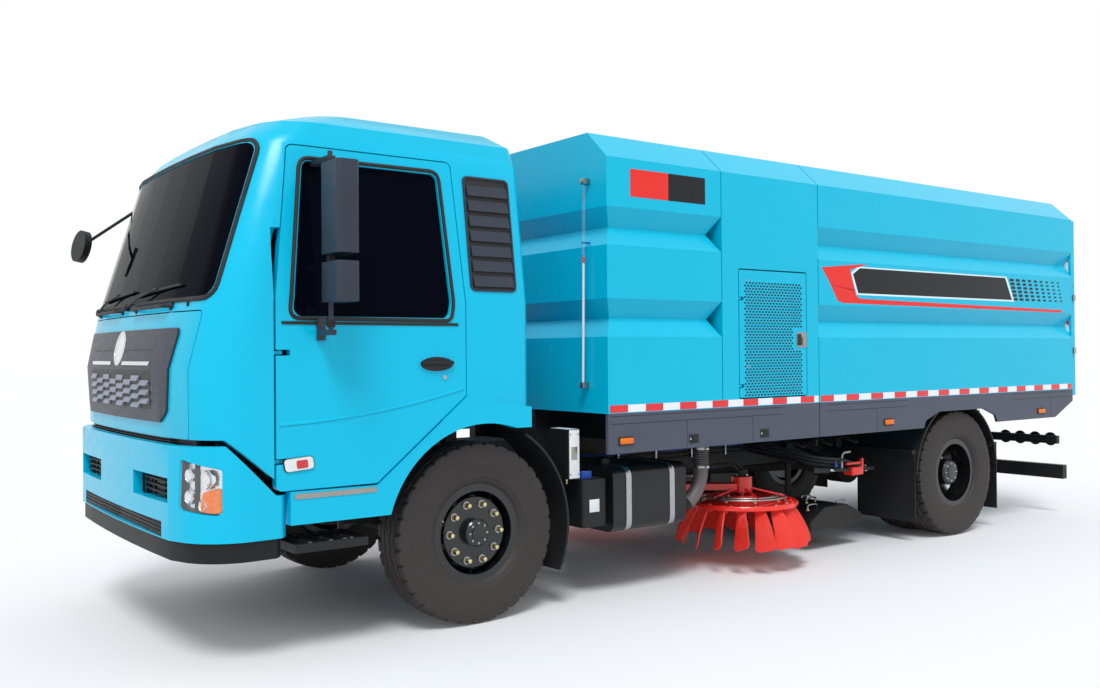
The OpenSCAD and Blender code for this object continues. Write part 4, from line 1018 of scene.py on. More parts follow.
@dataclass
class PaintShop:
    """Gives each CAD node that stays its finish, and smooth shading with crisp edges.

    Attributes:
        split_deg: Edges sharper than this stay sharp.
        weld_m: Points closer than this are one.
        mirror_edge_m: Width of the rounded edges of the mirror heads.
        mirror_edge_deg: Edges of the mirror heads sharper than this are rounded.
        coats: Finish of each single node.
        paired: Finish of the nodes that come left and right, without the side in their name.
    """

    split_deg: float = 32.0
    weld_m: float = 0.00002
    mirror_edge_m: float = 0.01
    mirror_edge_deg: float = 50.0
    coats: dict[str, Finish] = field(default_factory=lambda: {"chassis_frame": CHASSIS, "front_axle": CASTING,
        "leaf_springs": CASTING, "rear_axle": CASTING, "engine_block": ENGINE, "front_bumper": BUMPER_ENAMEL,
        "headlamps": LENS, "front_mudguards": BLACK_PP, "cab_steps": BLACK_PP, "urea_tank": BLACK_PP,
        "fuel_tank": TANK, "battery_box": BLACK_PP, "air_hose": HOSE_BANDED, "water_tank": ENAMEL,
        "machine_bay": ENAMEL, "fan_engine": ENGINE, "front_skirts": SKIRT, "rear_fenders": BLACK_PP,
        "rear_bars": CHASSIS, "suction_hose": SMOKE_HOSE, "cab_body": CAB_ENAMEL, "cab_floor": CHASSIS,
        "cab_roof": ENAMEL, "front_panel": ENAMEL, "grille": SLATE_ABS, "windscreen": GLASS, "dashboard": TRIM,
        "round_mirror": BLACK_PP, "steering_wheel": TRIM, "suction_nozzle": CHASSIS, "hopper": ENAMEL,
        "hopper_skirts": SKIRT, "rear_door": TAIL_ENAMEL, "tip_barrel": TANK, "tip_rod": CHROME})
    paired: dict[str, Finish] = field(default_factory=lambda: {"door": CAB_ENAMEL, "door_glass": GLASS,
        "mirrors": SLATE_ABS, "knuckle": CASTING, "front_rim": WHEEL, "rear_rims": WHEEL, "front_tyre": TYRE,
        "rear_tyres": TYRE, "service_door": ENAMEL, "broom_arm": RED_ENAMEL, "broom": RED_ENAMEL})

    def finish_for(self, node: str) -> Finish:
        """Finish of a node by its name.

        Args:
            node: Name of the node.

        Returns:
            The finish.
        """
        if node in self.coats:
            return self.coats[node]
        return self.paired.get(node.split("_", 1)[-1], TRIM)

    def build(self) -> None:
        """Dresses every node."""
        for name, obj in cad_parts.items():
            mesh = obj.data
            mesh.materials.clear()
            mesh.materials.append(self.finish_for(name).material())
            normals = mesh.attributes.get("custom_normal")
            if normals:
                mesh.attributes.remove(normals)
            for face in mesh.polygons:
                face.use_smooth = True
            weld = obj.modifiers.new("weld", "WELD")
            weld.merge_threshold = self.weld_m
            if name.endswith("_mirrors"):
                soft = obj.modifiers.new("moulded_edges", "BEVEL")
                soft.width, soft.segments, soft.limit_method = self.mirror_edge_m, 3, "ANGLE"
                soft.angle_limit = radians(self.mirror_edge_deg)
            split = obj.modifiers.new("crisp_edges", "EDGE_SPLIT")
            split.split_angle = radians(self.split_deg)
        LOG.info("dressed %d nodes", len(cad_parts))


# ---- wheels


@dataclass
class Wheels:
    """Tyres with tread, wheel nuts and hub caps on both axles, and the front valves."""

    front_x: float = FRONT_AXLE_X
    rear_x: float = REAR_AXLE_X
    front_y: float = 0.991
    twin_y: Flat = (0.766, 1.066)
    hub_z: float = 0.526
    tyre_r: float = 0.526
    half_w: float = 0.139
    bead_r: float = 0.262
    steps: int = 216
    slot_steps: int = 6
    zigzag: float = 0.0032
    crown_w: float = 0.09
    tread_crease: float = 28.0
    nut_r: float = 0.1675
    nut_size: float = 0.034
    washer: float = 0.004

    def section(self) -> list[tuple[float, float, float]]:
        """Half of the tyre's section from the bead out: distance from the middle, radius, depth of its slots.

        Returns:
            Points of the section.
        """
        h, r, b = self.half_w, self.tyre_r, self.bead_r
        return [(0.093, b, 0), (0.1, b + 0.004, 0), (0.105, b + 0.02, 0), (0.119, b + 0.034, 0), (0.122, b + 0.036, 0),
            (0.127, b + 0.048, 0), (0.1315, b + 0.06, 0), (0.134, b + 0.062, 0), (0.1362, b + 0.085, 0),
            (0.1382, b + 0.11, 0), (h, b + 0.135, 0), (0.1385, b + 0.158, 0), (0.1368, b + 0.18, 0),
            (0.1385, b + 0.183, 0), (0.137, b + 0.203, 0), (0.134, b + 0.218, 0.002), (0.128, r - 0.014, 0.01),
            (0.121, r - 0.006, 0.013), (0.1, r - 0.0035, 0.013), (0.084, r - 0.0025, 0.013), (0.082, r - 0.014, 0.002),
            (0.074, r - 0.014, 0), (0.072, r - 0.0015, 0.004), (0.054, r - 0.0006, 0.0), (0.036, r - 0.0005, 0.004),
            (0.034, r - 0.013, 0), (0.026, r - 0.013, 0), (0.024, r - 0.0004, 0.003), (0.012, r, 0.0)]

    def tyre(self, x: float, y: float) -> Shape:
        """One tyre.

        Args:
            x: X of its middle.
            y: Y of its middle.

        Returns:
            The shape.
        """
        half = self.section()
        rows = [(-w, r, d) for w, r, d in half] + [(w, r, d) for w, r, d in reversed(half)]
        points: list[Vector] = []
        for w, r, depth in rows:
            for k in range(self.steps):
                slot = depth if (k + (self.slot_steps // 2 if w > 0 else 0)) % self.slot_steps == 0 else 0.0
                zig = self.zigzag * (1 if (k // 3) % 2 else -1) if abs(w) < self.crown_w else 0.0
                a = tau * k / self.steps
                deep = r - slot
                points.append(Vector((x + deep * cos(a), y + w + zig, self.hub_z + deep * sin(a))))
        n, s = len(rows), self.steps
        faces = [(i * s + k, i * s + (k + 1) % s, ((i + 1) % n) * s + (k + 1) % s, ((i + 1) % n) * s + k)
            for i in range(n) for k in range(s)]
        return Shape(points, faces)

    def fittings(self, piece: Piece, x: float, face_y: float, cap_y: float, sign: int, cap_r: float) -> None:
        """Nuts of one wheel, and the middle and screws of its hub cap.

        Args:
            piece: Piece to add to.
            x: X of the axle.
            face_y: Distance of the disc under the nuts from the middle of the truck.
            cap_y: Distance of the hub cap's face from the middle of the truck.
            sign: 1 on the left, -1 on the right.
            cap_r: Radius of the hub cap.
        """
        axis = (0, sign, 0)
        for _, c, s in ring_of(WHEEL_NUTS, self.nut_r):
            seat, spot = ((x + c, sign * y, self.hub_z + s) for y in (face_y, face_y + self.washer))
            piece.add(ZINC, turned([(0.023, 0), (0.023, self.washer), (0.017, 0.005)], seat, axis, 20))
            piece.add(NUT, hexagon(spot, axis, self.nut_size, 0.016), turned([(0.015, 0.016), (0.015, 0.03),
                (0.0125, 0.037), (0.006, 0.041), (0, 0.041)], spot, axis, 16))
        for _, c, s in ring_of(8, cap_r * 0.8):
            piece.add(ZINC, hexagon((x + c, sign * cap_y, self.hub_z + s), axis, 0.015, 0.006))
        piece.add(WHEEL, turned([(cap_r * 0.62, 0), (cap_r * 0.6, 0.005), (cap_r * 0.3, 0.008), (0, 0.008)],
            (x, sign * cap_y, self.hub_z), axis, 32))

    def hand_holes(self, piece: Piece, x: float, sign: int, y0: float, y1: float, r0: float, r1: float) -> None:
        """Round holes in the slanted part of the disc, drawn as dark discs of painted shade, each with a rolled edge.

        Args:
            piece: Piece to add to.
            x: X of the axle.
            sign: 1 on the left, -1 on the right.
            y0: One end of the slant, from the middle of the truck.
            y1: Its other end.
            r0: Radius at y0.
            r1: Radius at y1.
        """
        mid_r, mid_y = (r0 + r1) / 2, (y0 + y1) / 2
        for a, _, _ in ring_of(WHEEL_NUTS, 1.0):
            a += pi / WHEEL_NUTS
            out = Vector((cos(a) * (y1 - y0), sign * abs(r1 - r0), sin(a) * (y1 - y0))).normalized()
            spot = Vector((x + mid_r * cos(a), sign * mid_y, self.hub_z + mid_r * sin(a)))
            # painted shade: a dark disc stands where each hand hole opens
            piece.add(BLACK_ABS_AND_PAINTED_SHADE, disc(0.021, 0.0012, spot, out, 24))
            piece.add(WHEEL, turned([(0.021, 0), (0.0225, 0.0022), (0.0245, 0.0015), (0.0255, 0)], spot, out, 24))

    def build(self) -> None:
        """All four wheel sets."""
        for side in Side:
            s, label = side.value, side.label
            Piece(f"{label}_front_tyre_tread", f"{label}_front_wheel").add(TYRE,
                self.tyre(self.front_x, s * self.front_y)).done("tyre_rubber", self.tread_crease,
                [f"{label}_front_tyre"])
            Piece(f"{label}_rear_tyre_treads", f"{label}_rear_wheels").add(TYRE,
                *[self.tyre(self.rear_x, s * y) for y in self.twin_y]).done("tyre_rubber", self.tread_crease,
                [f"{label}_rear_tyres"])
            front = Piece(f"{label}_front_wheel_fittings", f"{label}_front_wheel")
            self.fittings(front, self.front_x, self.front_y + 0.078, self.front_y + 0.126, s, 0.072)
            self.hand_holes(front, self.front_x, s, self.front_y + 0.022, self.front_y + 0.078, 0.243, 0.204)
            front.add(NUT, swept(curve([(self.front_x + 0.2, s * 1.07, 0.6), (self.front_x + 0.218, s * 1.09, 0.61),
                (self.front_x + 0.232, s * 1.096, 0.617)]), 0.004, 8))
            front.done("rim_black")
            rear = Piece(f"{label}_rear_wheel_fittings", f"{label}_rear_wheels")
            self.fittings(rear, self.rear_x, 0.93, 1.141, s, 0.09)
            self.hand_holes(rear, self.rear_x, s, 0.986, 0.93, 0.243, 0.2)
            rear.done("rim_black")


# ---- cab


@dataclass
class CabFront:
    """Seal, wipers, grab bars, grille slats, chrome strip and blank round dish of the nose."""

    screen: tuple[Flat, ...] = ((-1.075, 1.865), (1.075, 1.865), (1.035, 2.665), (-1.035, 2.665))
    lattice: Flat = (1.288, 1.482)
    lattice_half: float = 0.6
    columns: int = 8
    rows: int = 4
    strip_z: float = 1.518
    badge_z: float = 1.612
    badge_r: float = 0.1
    badge_t: float = 0.0045
    bar_z: float = 1.826
    recess_z: float = 1.17
    slat_gap: float = 0.006
    slat_lean: float = 0.012

    def seal(self) -> None:
        """Rubber seal round the windscreen."""
        rim = Skin("cab_body", "cab_roof")
        grown = [(y * 1.014, z + (0.014 if z > 2 else -0.012)) for y, z in self.screen]
        path = [rim.front(y, z, 0.001) for y, z in loop_through(grown, 0.075, 0.05)]
        Piece("windscreen_seal", "cab").add(RUBBER, swept(path, 0.013, 8, True)).done("black_rubber")

    def slats(self, skin: Skin) -> None:
        """Dark field of painted shade behind staggered columns of slats that face the sky and are painted lighter as
        painted skylight, and two grooves over it drawn as dark strips of painted shade.

        Args:
            skin: Faces of the cab.
        """
        piece = Piece("grille_slats", "cab")
        low, high = self.lattice
        half = self.lattice_half
        # painted shade: a dark field behind the slats and two dark strips for the grooves
        for z0, z1, proud in ((low, high, 0.0008), (1.596, 1.604, 0.0006), (1.486, 1.492, 0.0009)):
            piece.add(BLACK_ABS_AND_PAINTED_SHADE, slab([(-half, z0), (half, z0), (half + 0.01, z1), (-half - 0.01, z1)], skin.front,
                proud, 0.06))
        wide, pitch = 2 * half / self.columns, (high - low - 0.004) / self.rows
        for column in range(self.columns):
            y0 = -half + column * wide
            shift = 0.5 if column % 2 else 0.0
            for row in range(self.rows):
                z = low + 0.004 + (row + shift) * pitch
                if z + 0.6 * pitch > high:
                    continue
                tilt = self.slat_lean if y0 + wide / 2 > 0 else -self.slat_lean
                y1, y2 = y0 + self.slat_gap, y0 + wide - self.slat_gap
                rail = [[skin.front(y1 + (wide - 2 * self.slat_gap) * t, z + lift, proud) for t in (0, 0.5, 1)]
                    for lift, proud in ((0.0, 0.001), (0.0, 0.015), (0.006, 0.016), (0.6 * pitch, 0.002))]
                for line in rail[:3]:
                    line[0].y, line[2].y = y1 - min(tilt, 0), y2 - max(tilt, 0)
                rail[3][0].y, rail[3][2].y = y1, y2
                points = [q for line in rail for q in line]
                faces = [(3 * i + k, 3 * i + k + 1, 3 * ((i + 1) % 4) + k + 1, 3 * ((i + 1) % 4) + k) for i in range(4)
                    for k in range(2)] + [(0, 3, 6, 9), (11, 8, 5, 2)]
                # painted light: the slats are lighter where they face the sky
                piece.add(SLAT, Shape(points, faces))
        piece.done("grille_plastic")

    def bright_strip(self, skin: Skin) -> None:
        """Chromed strip in two halves, and a blank round dish with a chromed rim between them.

        Args:
            skin: Faces of the cab.
        """
        piece = Piece("front_brightwork", "cab")
        z = self.strip_z
        for s in (1, -1):
            piece.add(CHROME, slab([(s * 0.12, z), (s * 0.585, z), (s * 0.605, z + 0.02), (s * 0.12, z + 0.02)],
                skin.front, 0.006, 0.05))
        seat = skin.front(0.0, self.badge_z)
        lean = (skin.front(0.0, self.badge_z - 0.05).x - skin.front(0.0, self.badge_z + 0.05).x) / 0.1
        deep, r = self.badge_t, self.badge_r
        piece.add(CHROME, turned([(r * 0.8, 0.0), (r * 0.82, deep * 0.8), (r * 0.88, deep), (r * 0.96, deep * 0.75),
            (r, 0.0), (r, -0.02), (r * 0.8, -0.02), (r * 0.8, 0.0)], seat, (1, 0, lean), 48))
        piece.add(BOWL, turned([(0, deep * 0.62), (r * 0.3, deep * 0.58), (r * 0.6, deep * 0.42),
            (r * 0.81, deep * 0.2)], seat, (1, 0, lean), 48))
        piece.done("chromed_rod")

    def wipers(self, skin: Skin) -> None:
        """Two wipers lying along the foot of the screen.

        Args:
            skin: Faces of the cab.
        """
        piece = Piece("wipers", "cab")
        for y0 in (-0.02, -0.78):
            root = skin.front(y0, 1.845, 0.018)
            tip = skin.front(y0 + 0.46, 1.925, 0.022)
            piece.add(BLACK_PP, turned([(0.02, -0.02), (0.02, 0.006), (0.012, 0.014), (0, 0.016)], root, (1, 0, 0.25),
                20))
            piece.add(BLACK_PP, swept(curve([root, root.lerp(tip, 0.5) + Vector((0.012, 0, 0.004)), tip]),
                lambda t: 0.008 - 0.003 * t, 8))
            blade = [skin.front(y0 + 0.12 + 0.68 * t, 1.905 + 0.03 * t, 0.012) for t in (k / 10 for k in range(11))]
            piece.add(RUBBER, swept(blade, 0.0075, 8))
            piece.add(BLACK_PP, soft_block(tip - Vector((0.012, 0.03, 0.008)), tip + Vector((0.004, 0.03, 0.01)),
                0.004))
        piece.done("black_plastic")

    def grab_bars(self, skin: Skin) -> None:
        """Two rails for cleaning the screen.

        Args:
            skin: Faces of the cab.
        """
        piece = Piece("front_grab_bars", "cab")
        for y0, y1 in ((0.14, 0.72), (-0.72, -0.14)):
            ends = [skin.front(y0, self.bar_z, 0.0), skin.front(y1, self.bar_z, 0.0)]
            mids = [skin.front(y0 + (y1 - y0) * t, self.bar_z, 0.034) for t in (0.06, 0.2, 0.4, 0.6, 0.8, 0.94)]
            piece.add(BLACK_PP, swept(curve([ends[0], *mids, ends[1]], 4), 0.01, 10))
            for end in ends:
                piece.add(BLACK_PP, turned([(0.024, -0.006), (0.024, 0.004), (0.018, 0.01), (0, 0.012)], end,
                    (1, 0, 0.1), 20))
        piece.done("black_plastic")

    def cowl(self, skin: Skin) -> None:
        """Black strip between screen and panel, shut-line shadow strips, and a dark sheet of painted shade at the back
        of the recess under the panel.

        Args:
            skin: Faces of the cab.
        """
        piece = Piece("cowl_strip", "cab")
        piece.add(BLACK_ABS_AND_PAINTED_SHADE, slab(rect(-0.98, 1.846, 0.98, 1.853), skin.front, 0.002, 0.1))
        for y in (-0.9, 0.9):
            piece.add(BLACK_PP, turned([(0.012, 0), (0.012, 0.005), (0.006, 0.009), (0, 0.009)], skin.front(y, 1.828),
                (1, 0, 0), 16))
        for k in range(3):
            z = 1.118 + 0.012 * k
            piece.add(BLACK_PP, slab(rect(-0.8, z, 0.8, z + 0.005), skin.upright(self.recess_z, 0.03), 0.022, 0.1))
        # painted shade: a dark sheet at the back of the recess under the panel
        piece.add(BLACK_ABS_AND_PAINTED_SHADE, slab(rect(-1.0, 1.08, 1.0, 1.158), skin.upright(self.recess_z, 0.06), 0.02, 0.1))
        piece.done("black_plastic")

    def build(self) -> None:
        """Everything on the nose."""
        skin = Skin("cab_body", "front_panel", "grille", "windscreen", "cab_roof")
        self.seal()
        self.slats(skin)
        self.bright_strip(skin)
        self.wipers(skin)
        self.grab_bars(skin)
        self.cowl(skin)


@dataclass
class CabSides:
    """Door hardware, window seals, rear louvres, strips and side lamps."""

    window: tuple[Flat, ...] = ((3.64, 1.765), (3.56, 2.575), (2.76, 2.575), (2.705, 1.85), (2.72, 1.765))
    louvre: tuple[float, float, float, float] = (2.262, 2.565, 1.93, 2.58)
    handle: Point = (2.8, 1.51, 0.105)
    slats: int = 7

    def door(self, side: Side) -> None:
        """Handle, lock, seal, swage and lamp of one door.

        Args:
            side: Side of the truck.
        """
        s, label = side.value, side.label
        skin = Skin(f"{label}_door")
        on = partial(skin.side, sign=s)
        piece = Piece(f"{label}_door_fittings", f"{label}_door")
        mid = Vector((sum(x for x, _ in self.window) / 5, sum(z for _, z in self.window) / 5))
        grown = [tuple(mid + (Vector(c) - mid) * (1 + 0.014 / (Vector(c) - mid).length * 1.5)) for c in self.window]
        path = [skin.side(x, z, 0.0, s) for x, z in loop_through(grown, 0.06, 0.05)]
        piece.add(RUBBER, swept(path, 0.011, 8, True))
        cx, cz, half = self.handle
        piece.add(CAB_ENAMEL, slab(oval((cx, cz), half + 0.012, 0.05), on, 0.004, 0.03))
        # painted shade: a dark oval for the handle pocket
        piece.add(BLACK_ABS_AND_PAINTED_SHADE, slab(oval((cx, cz), half, 0.04), on, 0.0046, 0.03))
        lever = [skin.side(cx + half * t, cz + 0.006, 0.012 + 0.014 * (1 - t * t), s)
            for t in (-0.92, -0.6, -0.2, 0.2, 0.6, 0.92)]
        piece.add(BLACK_PP, swept(curve(lever, 3), 0.012, 10))
        piece.add(ZINC, turned([(0.013, 0), (0.013, 0.006), (0.01, 0.008), (0, 0.008)],
            skin.side(cx - 0.05, cz - 0.075, 0, s), (0, s, 0), 20))
        crease = [skin.side(3.712 - 1.085 * t, 1.215 + 0.125 * t * t + 0.03 * t, -0.0045, s)
            for t in (k / 12 for k in range(13))]
        piece.add(CAB_ENAMEL, swept(crease, 0.011, 10))
        belt = [(3.7, 1.722), (3.7, 1.738), (2.66, 1.738), (2.66, 1.722)]
        piece.add(RUBBER, slab(belt, on, 0.004, 0.08))
        lamp = [(3.525, 0.985), (3.69, 0.972), (3.7, 1.04), (3.535, 1.052)]
        lens = [(3.6125 + (x - 3.6125) * 0.93, 1.0125 + (z - 1.0125) * 0.93) for x, z in lamp]
        piece.add(BLACK_ABS_AND_PAINTED_SHADE, slab(loop_through(lamp, 0.022, 0.05), on, 0.005, 0.05))
        piece.add(WHITE, slab(loop_through(lens, 0.02, 0.05), on, 0.0105, 0.05))
        piece.add(RED_LENS, slab(loop_through([(3.565, 0.993), (3.625, 0.989), (3.629, 1.03), (3.569, 1.034)], 0.008,
            1), on, 0.0125, 0.05))
        piece.done("black_plastic")

    def body_side(self, side: Side) -> None:
        """Louvre panel behind the door and kick strip.

        Args:
            side: Side of the truck.
        """
        s = side.value
        skin = Skin("cab_body", "cab_roof")
        on = partial(skin.side, sign=s)
        piece = Piece(f"{side.label}_cab_side_trim", "cab")
        x0, x1, z0, z1 = self.louvre
        outline = loop_through([(x0, z0), (x1, z0), (x1 + 0.02, z1), (x0 + 0.02, z1)], 0.03, 1)
        # painted shade: dark backing behind the louvre slats
        piece.add(BLACK_ABS_AND_PAINTED_SHADE, slab(outline, on, 0.002, 0.06))
        pitch = (z1 - z0 - 0.04) / self.slats
        for k in range(self.slats):
            z = z0 + 0.02 + k * pitch
            lean = 0.02 * (z - z0) / (z1 - z0)
            low = [skin.side(x, z, d, s) for x in (x0 + 0.015 + lean, x1 - 0.015 + lean) for d in (0.002, 0.02)]
            high = [skin.side(x, z + pitch * 0.72, d, s) for x in (x0 + 0.015 + lean, x1 - 0.015 + lean)
                for d in (0.001, 0.006)]
            piece.add(SLATE_ABS, Shape(low + high, [(0, 1, 3, 2), (4, 6, 7, 5), (0, 4, 5, 1), (2, 3, 7, 6),
                (1, 5, 7, 3), (0, 2, 6, 4)]))
        rim = [skin.side(u, v, 0.004, s) for u, v in outline]
        piece.add(SLATE_ABS, swept(rim, 0.008, 8, True))
        piece.add(BRUSHED, slab(rect(3.18, 0.835, 3.64, 0.862), on, 0.004, 0.1))
        piece.done("grille_plastic")

    def mirrors(self, side: Side) -> None:
        """Mirror glass, clamps and arm covers of one door.

        Args:
            side: Side of the truck.
        """
        s, label = side.value, side.label
        skin = Skin(f"{label}_mirrors")
        piece = Piece(f"{label}_mirror_fittings", f"{label}_door")
        for z0, z1 in ((2.09, 2.51), (1.845, 2.015)):
            outline = loop_through(rect(s * 1.36, z0, s * 1.5, z1), 0.03, 1)
            outline = [(y, z) for y, z in outline if skin.hit((-6, y, z), (1, 0, 0))]
            if len(outline) > 8:
                piece.add(MIRROR, slab(outline, skin.back, 0.0015))
        for z in (1.72, 2.05, 2.3, 2.54):
            piece.add(BLACK_PP, turned([(0.0, -0.016), (0.021, -0.016), (0.023, 0), (0.021, 0.016), (0.0, 0.016)],
                (3.5, s * 1.35, z), UP, 20))
        piece.done("black_plastic")

    def build(self) -> None:
        """Both sides."""
        for side in Side:
            self.door(side)
            self.body_side(side)
            self.mirrors(side)


@dataclass
class Bumper:
    """Lamps, pocket inserts of ribs over dark blocks of painted shade, lower slot and screws of the front bumper."""

    lamp: tuple[Flat, ...] = ((0.978, 0.813), (1.166, 0.785), (1.166, 1.007), (0.993, 1.056))
    nose_x: float = 4.2

    def lamps(self) -> None:
        """Two clear lamps with reflector bowls and amber corners, in place of the plain blocks."""
        skin = Skin("headlamps")
        piece = Piece("headlamp_units", "chassis")
        outline = loop_through(self.lamp, 0.02, 0.04)
        piece.both(BOWL, slab(outline, skin.sunk(0.04), 0.004, 0.02))
        rim = [skin.front(y, z, -0.006) for y, z in outline]
        back = [skin.front(y, z, -0.04) for y, z in outline]
        n = len(rim)
        piece.both(BLACK_ABS_AND_PAINTED_SHADE, Shape(rim + back, [(i, (i + 1) % n, (i + 1) % n + n, i + n) for i in range(n)]))
        for y, z, r in ((1.022, 0.975, 0.034), (1.11, 0.958, 0.046), (1.02, 0.868, 0.034), (1.09, 0.83, 0.028)):
            spot = skin.front(y, z, -0.034)
            bowl = [(r * t, 0.02 * t * t) for t in (0.16, 0.3, 0.5, 0.7, 0.85, 1.0)]
            piece.both(BOWL, turned([(0, 0.001), *bowl, (r * 1.05, 0.019), (r * 1.05, 0.0)], spot, (1, 0.28, 0), 36))
            piece.both(LENS, turned([(r * 0.16, 0.004), (r * 0.16, 0.016), (r * 0.1, 0.022), (0, 0.024)], spot,
                (1, 0.28, 0), 20))
        piece.both(BLACK_ABS_AND_PAINTED_SHADE, slab([(1.056, 0.805), (1.063, 0.804), (1.066, 1.032), (1.059, 1.034)], skin.sunk(0.034),
            0.018, 0.02))
        piece.both(AMBER, slab(loop_through([(1.092, 0.8), (1.162, 0.79), (1.162, 0.915), (1.104, 0.9)], 0.022, 1),
            skin.sunk(0.022), 0.016, 0.02))
        piece.both(LENS, slab(outline, skin.sunk(0.0035), 0.003, 0.02))
        piece.done("lamp_glass", 30, ["headlamps"])

    def pockets(self) -> None:
        """Ribs over dark blocks of painted shade in the two pockets and in the lower slot, and four plate screws."""
        piece = Piece("bumper_inserts", "chassis")
        x = self.nose_x - 0.062
        # painted shade: dark blocks behind the ribs in the pockets
        piece.both(BLACK_ABS_AND_PAINTED_SHADE, soft_block((x - 0.022, 0.347, 0.832), (x - 0.012, 0.888, 0.953), 0.002))
        for z in (0.862, 0.892, 0.922):
            piece.both(BLACK_PP, soft_block((x - 0.014, 0.352, z - 0.005), (x + 0.006, 0.884, z + 0.005), 0.002))
        for y in (0.43, 0.53, 0.71, 0.8):
            piece.both(BLACK_PP, soft_block((x - 0.016, y - 0.004, 0.834), (x - 0.002, y + 0.004, 0.951), 0.002))
        # painted shade: a dark block behind the ribs in the lower slot
        piece.both(BLACK_ABS_AND_PAINTED_SHADE, soft_block((self.nose_x - 0.032, 0.0, 0.651), (self.nose_x - 0.027, 0.799, 0.729), 0.001))
        for z in (0.672, 0.692, 0.712):
            piece.both(BLACK_PP, soft_block((self.nose_x - 0.032, 0.0, z - 0.004),
                (self.nose_x - 0.02, 0.797, z + 0.004), 0.002))
        skin = Skin("front_bumper")
        for y, z in ((0.182, 0.929), (0.182, 0.829)):
            piece.both(ZINC, hexagon(skin.front(y + 0.012, z) - Vector((0.006, 0, 0)), (1, 0, 0), 0.014, 0.004))
        piece.done("black_plastic")

    def build(self) -> None:
        """Lamps and inserts."""
        self.lamps()
        self.pockets()


@dataclass
class Cabin:
    """Two seats with crowned cushions on moulded bases."""

    seat_y: tuple[float, ...] = (0.5, -0.5)
    half_w: float = 0.25
    cushion_x: tuple[float, float] = (2.8, 3.33)
    cushion_z: tuple[float, float] = (1.5, 1.64)
    back_top: float = 2.235
    fill: float = 0.75
    crease: float = 60.0

    @staticmethod
    def cushion(low: Point, high: Point, crown: float, way: int) -> Shape:
        """A stuffed form: full in the middle, drawn in between its corners.

        Args:
            low: Lowest corner.
            high: Highest corner.
            crown: Extra height of the middle.
            way: Axis along which it is crowned.

        Returns:
            The shape.
        """
        work = bmesh.new()
        bmesh.ops.create_cube(work, size=2.0)
        bmesh.ops.subdivide_edges(work, edges=list(work.edges), cuts=9, use_grid_fill=True)
        mid = [(a + b) / 2 for a, b in zip(low, high)]
        half = [(b - a) / 2 for a, b in zip(low, high)]
        for v in work.verts:
            c = list(v.co)
            soft = []
            for i in range(3):
                others = [abs(c[j]) for j in range(3) if j != i]
                pull = 1 - 0.09 * max(0.0, others[0] ** 8) - 0.09 * max(0.0, others[1] ** 8)
                soft.append(c[i] * pull)
            flat = [j for j in range(3) if j != way]
            dome = (1 - c[flat[0]] ** 2) * (1 - c[flat[1]] ** 2)
            channel = 0.1 * exp(-((abs(c[flat[1]]) - 0.55) / 0.05) ** 2)
            if c[way] > 0:
                soft[way] += crown / half[way] * (dome - channel)
            v.co = Vector(mid[i] + soft[i] * half[i] for i in range(3))
        shape = from_bmesh(work)
        work.free()
        return shape

    def build(self) -> None:
        """Both seats."""
        base = Piece("seat_bases", "cab")
        x0, x1 = self.cushion_x
        z0, z1 = self.cushion_z
        for y, name in zip(self.seat_y, ("driver", "passenger")):
            base.add(TRIM, soft_block((x0 + 0.06, y - 0.2, 1.24), (x1 - 0.06, y + 0.2, z0 + 0.01), 0.03))
            for part, low, high, crown, way in (("cushion", (x0, y - self.half_w, z0),
                    (x1, y + self.half_w, z1 - 0.01), 0.01, 2), ("backrest", (2.77, y - self.half_w + 0.01, z1 - 0.02),
                    (2.86, y + self.half_w - 0.01, 2.03), 0.01, 0), ("headrest", (2.77, y - 0.13, 2.05),
                    (2.85, y + 0.13, self.back_top), 0.008, 0)):
                soft = Piece(f"{name}_{part}", "cab").add(SEAT_CLOTH, self.cushion(low, high, crown,
                    way)).done("seat_fabric", self.crease)
                smooth = soft.modifiers.new("rounding", "SUBSURF")
                smooth.levels = smooth.render_levels = 1
        base.done("cabin_plastic", 38, ["seats"])


# ---- chassis fittings


